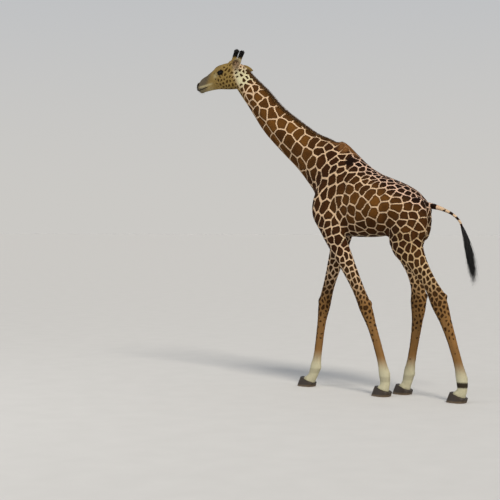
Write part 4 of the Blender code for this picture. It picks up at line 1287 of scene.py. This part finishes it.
def horn_material():
    """Hoof horn, worn by walking: dark with a dull sheen, growth rings round it, dust near the ground."""
    made, tree, shader = material("hoof_horn", {"Roughness": 0.5, "Specular IOR Level": 0.4})
    place = node(tree, "TexCoord", output="Object")
    back, height = (node(tree, "SeparateXYZ", {0: place}, way) for way in ("Y", "Z"))
    noise = node(tree, "TexNoise", {"Vector": place, "Scale": per_metre(HORN_MOTTLE_MM), "Detail": 5.0})

    # rings that slant down to the heel and waver a little
    slope = node(tree, "Math", {0: back, 1: 0.3, 2: height}, operation="MULTIPLY_ADD")
    bent = node(tree, "Math", {0: noise, 1: 0.012, 2: slope}, operation="MULTIPLY_ADD")
    turns = node(tree, "Math", {0: bent, 1: 2 * math.pi * per_metre(GROWTH_RING_MM)}, operation="MULTIPLY")
    wave = node(tree, "Math", {0: turns}, operation="SINE")
    bump = node(tree, "Bump", {"Height": wave, "Strength": 0.35, "Distance": 0.0008})
    tree.links.new(bump, shader.inputs["Normal"])

    mix = node(tree, "Mix", {"Factor": noise, "A": full(HORN_DARK), "B": full(HORN_LIGHT)}, "Result",
               data_type="RGBA")
    low = node(tree, "MapRange", {"Value": height, "From Min": DUST_HEIGHT, "From Max": 0.0,
                                  "To Max": DUST_SHARE})
    dusty = node(tree, "Mix", {"Factor": low, "A": mix, "B": full(DUST)}, "Result", data_type="RGBA")
    tree.links.new(dusty, shader.inputs["Base Color"])
    return made


def eye_material():
    """A living eye under its film of tears: mirror-wet and nearly black, with a wide level pupil."""
    made, tree, shader = material("eye_wet", {"Roughness": 0.08, "Specular IOR Level": 0.15,
                                              "Coat Weight": 0.12, "Coat Roughness": 0.02})
    colour = full(PUPIL)
    for ring, outer in (("pupil", IRIS), ("iris", EYE_RIM)):
        reach = node(tree, "Attribute", output="Fac", attribute_name=ring)
        share = node(tree, "MapRange", {"Value": reach, "From Min": 0.9, "From Max": 1.1})
        colour = node(tree, "Mix", {"Factor": share, "A": colour, "B": full(outer)}, "Result",
                      data_type="RGBA")
    tree.links.new(colour, shader.inputs["Base Color"])
    return made


def floor_material():
    """Painted studio floor: pale and matt, with a faint unevenness from the roller."""
    made, tree, shader = material("studio_floor", {"Roughness": 0.85, "Specular IOR Level": 0.2})
    place = node(tree, "TexCoord", output="Object")
    noise = node(tree, "TexNoise", {"Vector": place, "Scale": per_metre(FLOOR_MOTTLE_MM), "Detail": 4.0})
    mix = node(tree, "Mix", {"Factor": noise, "A": full(FLOOR), "B": full(FLOOR_LIGHT)}, "Result",
               data_type="RGBA")
    tree.links.new(mix, shader.inputs["Base Color"])
    return made


def dressed(piece, look):
    """Gives a piece its material and slot, and lets it ride with the giraffe."""
    piece.data.materials.clear()
    piece.data.materials.append(look)
    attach(piece, "root")
    return piece


# Pieces

def make_eye(side, look):
    """An eyeball with a raised clear front, turned a little forward and down."""
    shape = bmesh.new()
    bmesh.ops.create_uvsphere(shape, u_segments=40, v_segments=28, radius=EYE_RADIUS)
    mesh = meshed(shape, "eyeball")
    places = places_of(mesh)
    gaze = unit(np.array((side, *GAZE)))
    level = unit(np.cross((0, 0, 1), gaze))
    rise = np.cross(gaze, level)
    front = places @ gaze / EYE_RADIUS
    bulge = 0.0018 * ramp(front, 0.72, 0.95)
    flat = np.stack((places @ level, places @ rise), axis=1)
    put(mesh, "iris", np.linalg.norm(flat, axis=1) / IRIS_RADIUS + 3 * (front < 0))
    put(mesh, "pupil", np.linalg.norm(flat / PUPIL_HALF, axis=1) + 3 * (front < 0))
    turned = (places + gaze * bulge[:, None]) * (1, -1, 1) @ HEAD_TURN.T
    centre = head_point(EYE_PLACE[0] * side, *EYE_PLACE[1:])
    set_places(mesh, turned + centre + SHIFT)
    mesh.flip_normals()
    mesh.shade_smooth()
    piece = dressed(linked("eyeball_" + SIDES[side], mesh), look)
    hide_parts("eye_" + SIDES[side])


def make_lashes(side, look, rng):
    """Long lashes that stand out from the rim of the upper lid and droop."""
    share = np.linspace(-1, 1, LASHES) + rng.normal(0, 0.01, LASHES)
    aim, level, rise = eye_axes()
    arch = 0.0035 + 0.0105 * np.sqrt(1 - 0.9 * share ** 2)
    rim = level * (share * LID_HALF)[:, None] + rise * arch[:, None]
    out = np.sqrt((EYE_RADIUS + 0.003) ** 2 - (rim ** 2).sum(axis=1))
    roots = EYE_PLACE + aim * out[:, None] + rim
    ways = unit(aim * 0.80 + rim * 14 + rise * 0.12 + rng.normal(0, 0.06, (LASHES, 3)))
    bends = np.tile(-rise * 0.50, (LASHES, 1))
    turn = HEAD_TURN * (side, -1, 1)
    seats = np.stack((share * 0.45 + 0.5, np.full(LASHES, 0.5)), axis=1)
    add_locks("lashes_" + SIDES[side], HEAD_ORIGIN + roots @ turn.T, ways @ turn.T, bends @ turn.T,
              rng.uniform(*LASH_LENGTH, LASHES), np.full(LASHES, 0.0008), 3, seats, look, rng)


def make_whiskers(surface, line, look, rng):
    """A few long stiff hairs on lips and chin."""
    _, along, up = head_frame(surface.places).T
    near_lips = ramp(along, 0.47, 0.58) * ramp(up, 0.10, 0.06) * is_head(surface.places)
    roots, outward, _ = surface.grow(near_lips[surface.triangles].mean(axis=1) + 1e-9, WHISKERS, rng)
    forward = HEAD_TURN @ np.array((0.0, -0.5, -0.35))
    ways = unit(outward + forward + rng.normal(0, 0.15, roots.shape))
    add_locks("whiskers", roots, ways, np.tile((0.0, 0.0, -0.25), (WHISKERS, 1)),
              rng.uniform(*WHISKER_LENGTH, WHISKERS), np.full(WHISKERS, 0.0005), 3,
              line.unwrap(roots), look, rng)


def make_claw(name, look):
    """One claw, rounded from its solid with the sole's edge kept crisp."""
    shape = welded((name,), 0.0)
    bmesh.ops.dissolve_limit(shape, angle_limit=math.radians(2), verts=shape.verts, edges=shape.edges)
    crease = shape.edges.layers.float.new("crease_edge")
    for edge in shape.edges:
        if len(edge.link_faces) == 2 and edge.calc_face_angle() > SOLE_EDGE:
            edge[crease] = SOLE_CREASE
    piece = linked("claw_" + name, meshed(shape, name))
    piece.modifiers.new("rounder", "SUBSURF").levels = 2
    done = as_modified(piece)
    piece.modifiers.clear()
    piece.data = done
    done.shade_smooth()
    dressed(piece, look)
    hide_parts(name)


def make_ossicone(hand, coat, hair, rng):
    """A skin-covered horn: short coat below, a brush of black hair round its blunt top."""
    solid = "ossicone_" + hand
    mesh = remeshed(welded((solid,), SWELL), HORN_GRAIN, HORN_ROUNDING)
    places = own(places_of(mesh)) - normals_of(mesh) * FACE_DEPTH
    set_places(mesh, places + SHIFT)
    low, high = own_box(solid)
    share = (places[:, 2] - low[2]) / (high[2] - low[2])
    ground = painted(np.tile(linear(OLIVE_TAN), (len(places), 1)), (BRUSH, ramp(share, 0.40, 0.60)))
    marks = {"ground": ground, "spot": ground, "inside": np.full(len(places), -20.0)}
    put_marks(mesh, marks)
    mesh.shade_smooth()
    piece = dressed(linked("horn_" + hand, mesh), coat)
    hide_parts(solid)
    surface = Surface(mesh, marks | {"share": share})
    line = Line(places, low, high)
    way = unit(np.array(BRUSH_WAY))

    chance = ramp(share, 0.40, 0.58)[surface.triangles].mean(axis=1) + 1e-6
    roots, outward, around = surface.grow(chance, BRUSH_HAIRS, rng)
    top = ramp(around["share"], 0.80, 0.98)[:, None]
    lengths = rng.uniform(*BRUSH_LENGTH, BRUSH_HAIRS) * (1 - 0.50 * top[:, 0])
    add_locks("brush_" + hand, roots - outward * 0.001, unit(outward * (0.50 + 0.15 * top) + way),
              -outward * 0.10, lengths, np.full(BRUSH_HAIRS, 0.0016), 3, line.unwrap(roots), hair, rng)

    chance = ramp(share, 0.64, 0.44)[surface.triangles].mean(axis=1) + 1e-6
    grown = surface.grow(chance, HORN_TUFTS, rng)
    ways = tangent(np.tile(way, (HORN_TUFTS, 1)), grown[1])
    add_tufts("fur_horn_" + hand, surface, grown, ways, HORN_COAT, line, coat, rng)


def near_node(name, places, reach):
    """Which places lie within reach of a node's surface."""
    solid = NODES[name]
    tree = BVHTree.FromPolygons([vertex.co for vertex in solid.data.vertices],
                                [tuple(face.vertices) for face in solid.data.polygons])
    low, high = (np.array(corner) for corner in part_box(name))
    world = places + SHIFT
    close = ((world > low - reach) & (world < high + reach)).all(axis=1)
    for index in np.nonzero(close)[0]:
        close[index] = tree.find_nearest(Vector(world[index]), reach)[0] is not None
    return close


def make_mane(surface, line, look, rng):
    """Thousands of upright hairs in locks, down the back of the neck."""
    close = near_node("mane", surface.places, MANE_REACH)
    chance = close[surface.triangles].all(axis=1) + 0.0
    roots, outward, _ = surface.grow(chance, MANE_HAIRS, rng)
    back = unit(np.array(MANE_WAY))
    reach = (roots - line.start) @ line.way
    share = (reach - reach.min()) / (reach.max() - reach.min())
    flow = line.flow(roots)
    side_way = unit(np.cross(flow, back))
    off_side = (outward * side_way).sum(axis=1, keepdims=True)
    ways = unit(back + outward * 0.5 + flow * 0.42 + side_way * off_side * 0.15
                + rng.normal(0, 0.07, roots.shape))
    # shorter at both ends, and most so over the withers
    profile = 0.60 + 0.45 * np.sin(np.pi * np.clip(share * 0.85 + 0.12, 0, 1)) ** 0.6
    profile = profile * (0.40 + 0.60 * ramp(share, 1.0, 0.88))
    lengths = MANE_LENGTH * profile * rng.uniform(0.78, 1.05, len(roots))
    piece = add_locks("mane_hair", roots - outward * 0.002, ways, flow * 0.22, lengths,
                      rng.uniform(0.0018, 0.0030, MANE_HAIRS), 3, line.unwrap(roots), look, rng)
    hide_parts("mane")


def make_tuft(look, rng):
    """The long black hair at the tail's end."""
    low = own_box("tail_tuft")[0]
    count = TAIL_HAIRS
    aim = unit(np.array(TAIL_WAY))
    turn = rng.uniform(0, 2 * np.pi, count)
    out = np.stack((np.cos(turn), np.sin(turn), np.zeros(count)), axis=1)
    out = tangent(out, np.tile(aim, (count, 1)))
    share = rng.random(count)
    roots = TAIL_END + (aim + TAIL_FALL * share[:, None]) * (TAIL_ROOTS * share[:, None]) - aim * 0.03
    roots = roots + out * (TAIL_RADIUS * (1 - 0.5 * share[:, None]))
    ways = unit(out * rng.uniform(0.04, 0.20, count)[:, None] + aim)
    bends = TAIL_FALL * 0.6 - out * rng.uniform(0.05, 0.20, count)[:, None]
    bends = bends + rng.normal(0, 0.02, (count, 3))
    lengths = rng.uniform(*TAIL_LENGTH, count) * (1 - 0.15 * share)
    # none ends more than a little below its solid
    limit = (roots[:, 2] - (low[2] - 0.015)) / -(ways + bends)[:, 2]
    seats = np.stack((0.02 + 0.96 * turn / (2 * np.pi), 0.05 + 0.9 * share), axis=1)
    piece = add_locks("tail_hair", roots, ways, bends, np.minimum(lengths, limit),
                      rng.uniform(0.002, 0.0038, count), 8, seats, look, rng, ripple=0.012)
    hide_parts("tail_tuft")


def make_coat(surface, lines, look, rng):
    """Short tufts over the whole skin, one piece for each region, laid along its lie."""
    regions = region_of(surface.places[surface.triangles].mean(axis=1))
    bare = bare_skin(surface.places)[surface.triangles].mean(axis=1)
    for name, line in lines.items():
        count, *size = COATS[name.removesuffix("_left").removesuffix("_right")]
        grown = surface.grow((regions == name) * (1 - bare), count, rng)
        ways = tangent(line.flow(grown[0]), grown[1])
        add_tufts("coat_" + name, surface, grown, ways, size, line, look, rng)


def make_coronets(surface, lines, look, rng):
    """A fringe of longer hair that hangs over the top of each hoof."""
    for name, joints in LEGS.items():
        x, y, _ = joints[-1]
        off = surface.places - (x, y, 0)
        edge = CORONET[0] - CORONET[1] * off[:, 1]
        fringe = (off[:, 2] > edge + FRINGE_BAND[0]) & (off[:, 2] < edge + FRINGE_BAND[1])
        close = (np.hypot(off[:, 0], off[:, 1]) < 0.20) & fringe
        chance = close[surface.triangles].all(axis=1) + 0.0
        grown = surface.grow(chance, CORONET_TUFTS, rng)
        ways = unit(tangent(np.tile((0.0, 0.0, -1.0), (CORONET_TUFTS, 1)), grown[1]) + grown[1] * 0.16)
        add_tufts("coronet_hair_" + name, surface, grown, ways, CORONET_COAT, lines[name], look,
                  rng)


def bare_skin(places):
    """1 where no hair grows: lips, nostrils, the rims of the lids; 0 elsewhere."""
    side = on_left(places)
    eye = ramp(np.linalg.norm(side - EYE_PLACE, axis=1), 0.044, 0.038)
    return is_head(places) * np.maximum(eye, near_nostril(side, 0.026, 0.007))


def make_giraffe():
    """Skin, coat, hair, eyes, horns and hooves, in the order of their random draws."""
    rng = np.random.default_rng(PATCH_SEED)
    mesh = make_skin()
    places = own(places_of(mesh))
    normals = normals_of(mesh)
    places = places - normals * inset_of(places)[:, None]
    set_places(mesh, places + SHIFT)
    marks = markings(places, normals, rng)
    put_marks(mesh, marks)
    coat = coat_material()
    hair = hair_material("mane_hair", HAIR_BASE, HAIR_TIP)
    black = hair_material("black_hair", BRUSH, BRUSH)
    skin = dressed(linked("skin", mesh), coat)
    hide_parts(*FLESH)
    surface = Surface(mesh, marks)
    names = region_of(places)
    lines = {name: Line(places[names == name], *ends) for name, ends in REGIONS.items()}
    make_coat(surface, lines, coat, rng)
    make_coronets(surface, lines, coat, rng)
    make_mane(surface, lines["neck_left"], hair, rng)
    make_tuft(black, rng)
    make_whiskers(surface, lines["head"], black, rng)
    wet = eye_material()
    for side in SIDES:
        make_eye(side, wet)
        make_lashes(side, black, rng)
    for hand in SIDES.values():
        make_ossicone(hand, coat, black, rng)
    horn = horn_material()
    for name in CLAWS:
        make_claw(name, horn)


# Stage

def make_stage():
    """A pale floor that runs into an even haze, under a grey sky."""
    bpy.ops.mesh.primitive_plane_add(size=FLOOR_WIDTH)
    floor = bpy.context.active_object
    floor.name = "studio_floor"
    floor.data.materials.append(floor_material())
    world = bpy.data.worlds.new("studio")
    bpy.context.scene.world = world
    world.use_nodes = True
    tree = world.node_tree
    height = node(tree, "SeparateXYZ", {0: node(tree, "TexCoord", output="Generated")}, "Z")
    rise = node(tree, "MapRange", {"Value": height, "From Max": HAZE_RISE}, interpolation_type="SMOOTHSTEP")
    sky = node(tree, "Mix", {"Factor": rise, "A": full(HAZE), "B": full(SKY)}, "Result", data_type="RGBA")
    tree.links.new(sky, tree.nodes["Background"].inputs["Color"])
    bpy.context.scene.view_settings.view_transform = "Standard"


def make_lights():
    """A broad soft sun from behind its left side, and a large pale screen before it."""
    sun = bpy.data.lights.new("sun", "SUN")
    sun.energy = SUN_STRENGTH
    sun.angle = SUN_WIDTH
    sun.color = SUN_COLOUR
    lamp = linked("sun", sun)
    lamp.rotation_euler = Vector(SUN_WAY).to_track_quat("Z", "Y").to_euler()
    screen = bpy.data.lights.new("screen", "AREA")
    screen.shape = "DISK"
    screen.size = SCREEN_WIDTH
    screen.energy = SCREEN_WATTS
    screen.color = SCREEN_COLOUR
    lamp = linked("screen", screen)
    lamp.location = SCREEN_PLACE
    lamp.rotation_euler = (lamp.location - Vector(SCREEN_AIM)).to_track_quat("Z", "Y").to_euler()


def make_camera():
    """The camera that the photo's outline gives, turned so that the giraffe stands where it does there."""
    camera = bpy.data.cameras.new("camera")
    camera.sensor_width = 36.0
    camera.lens = FOCAL_PIXELS / FRAME_PIXELS * camera.sensor_width
    holder = linked("camera", camera)
    way = Vector((math.sin(CAMERA_AZIMUTH), -math.cos(CAMERA_AZIMUTH), 0))
    holder.location = way * CAMERA_DISTANCE + Vector((SHIFT[0], SHIFT[1], CAMERA_HEIGHT))
    yaw = math.atan((AXIS_PIXEL[0] - FRAME_PIXELS / 2) / FOCAL_PIXELS)
    pitch = math.atan((FRAME_PIXELS / 2 - AXIS_PIXEL[1]) / FOCAL_PIXELS)
    holder.rotation_euler = (math.pi / 2 - pitch, 0, CAMERA_AZIMUTH + yaw)
    bpy.context.scene.camera = holder


make_camera()
make_stage()
make_lights()
make_giraffe()
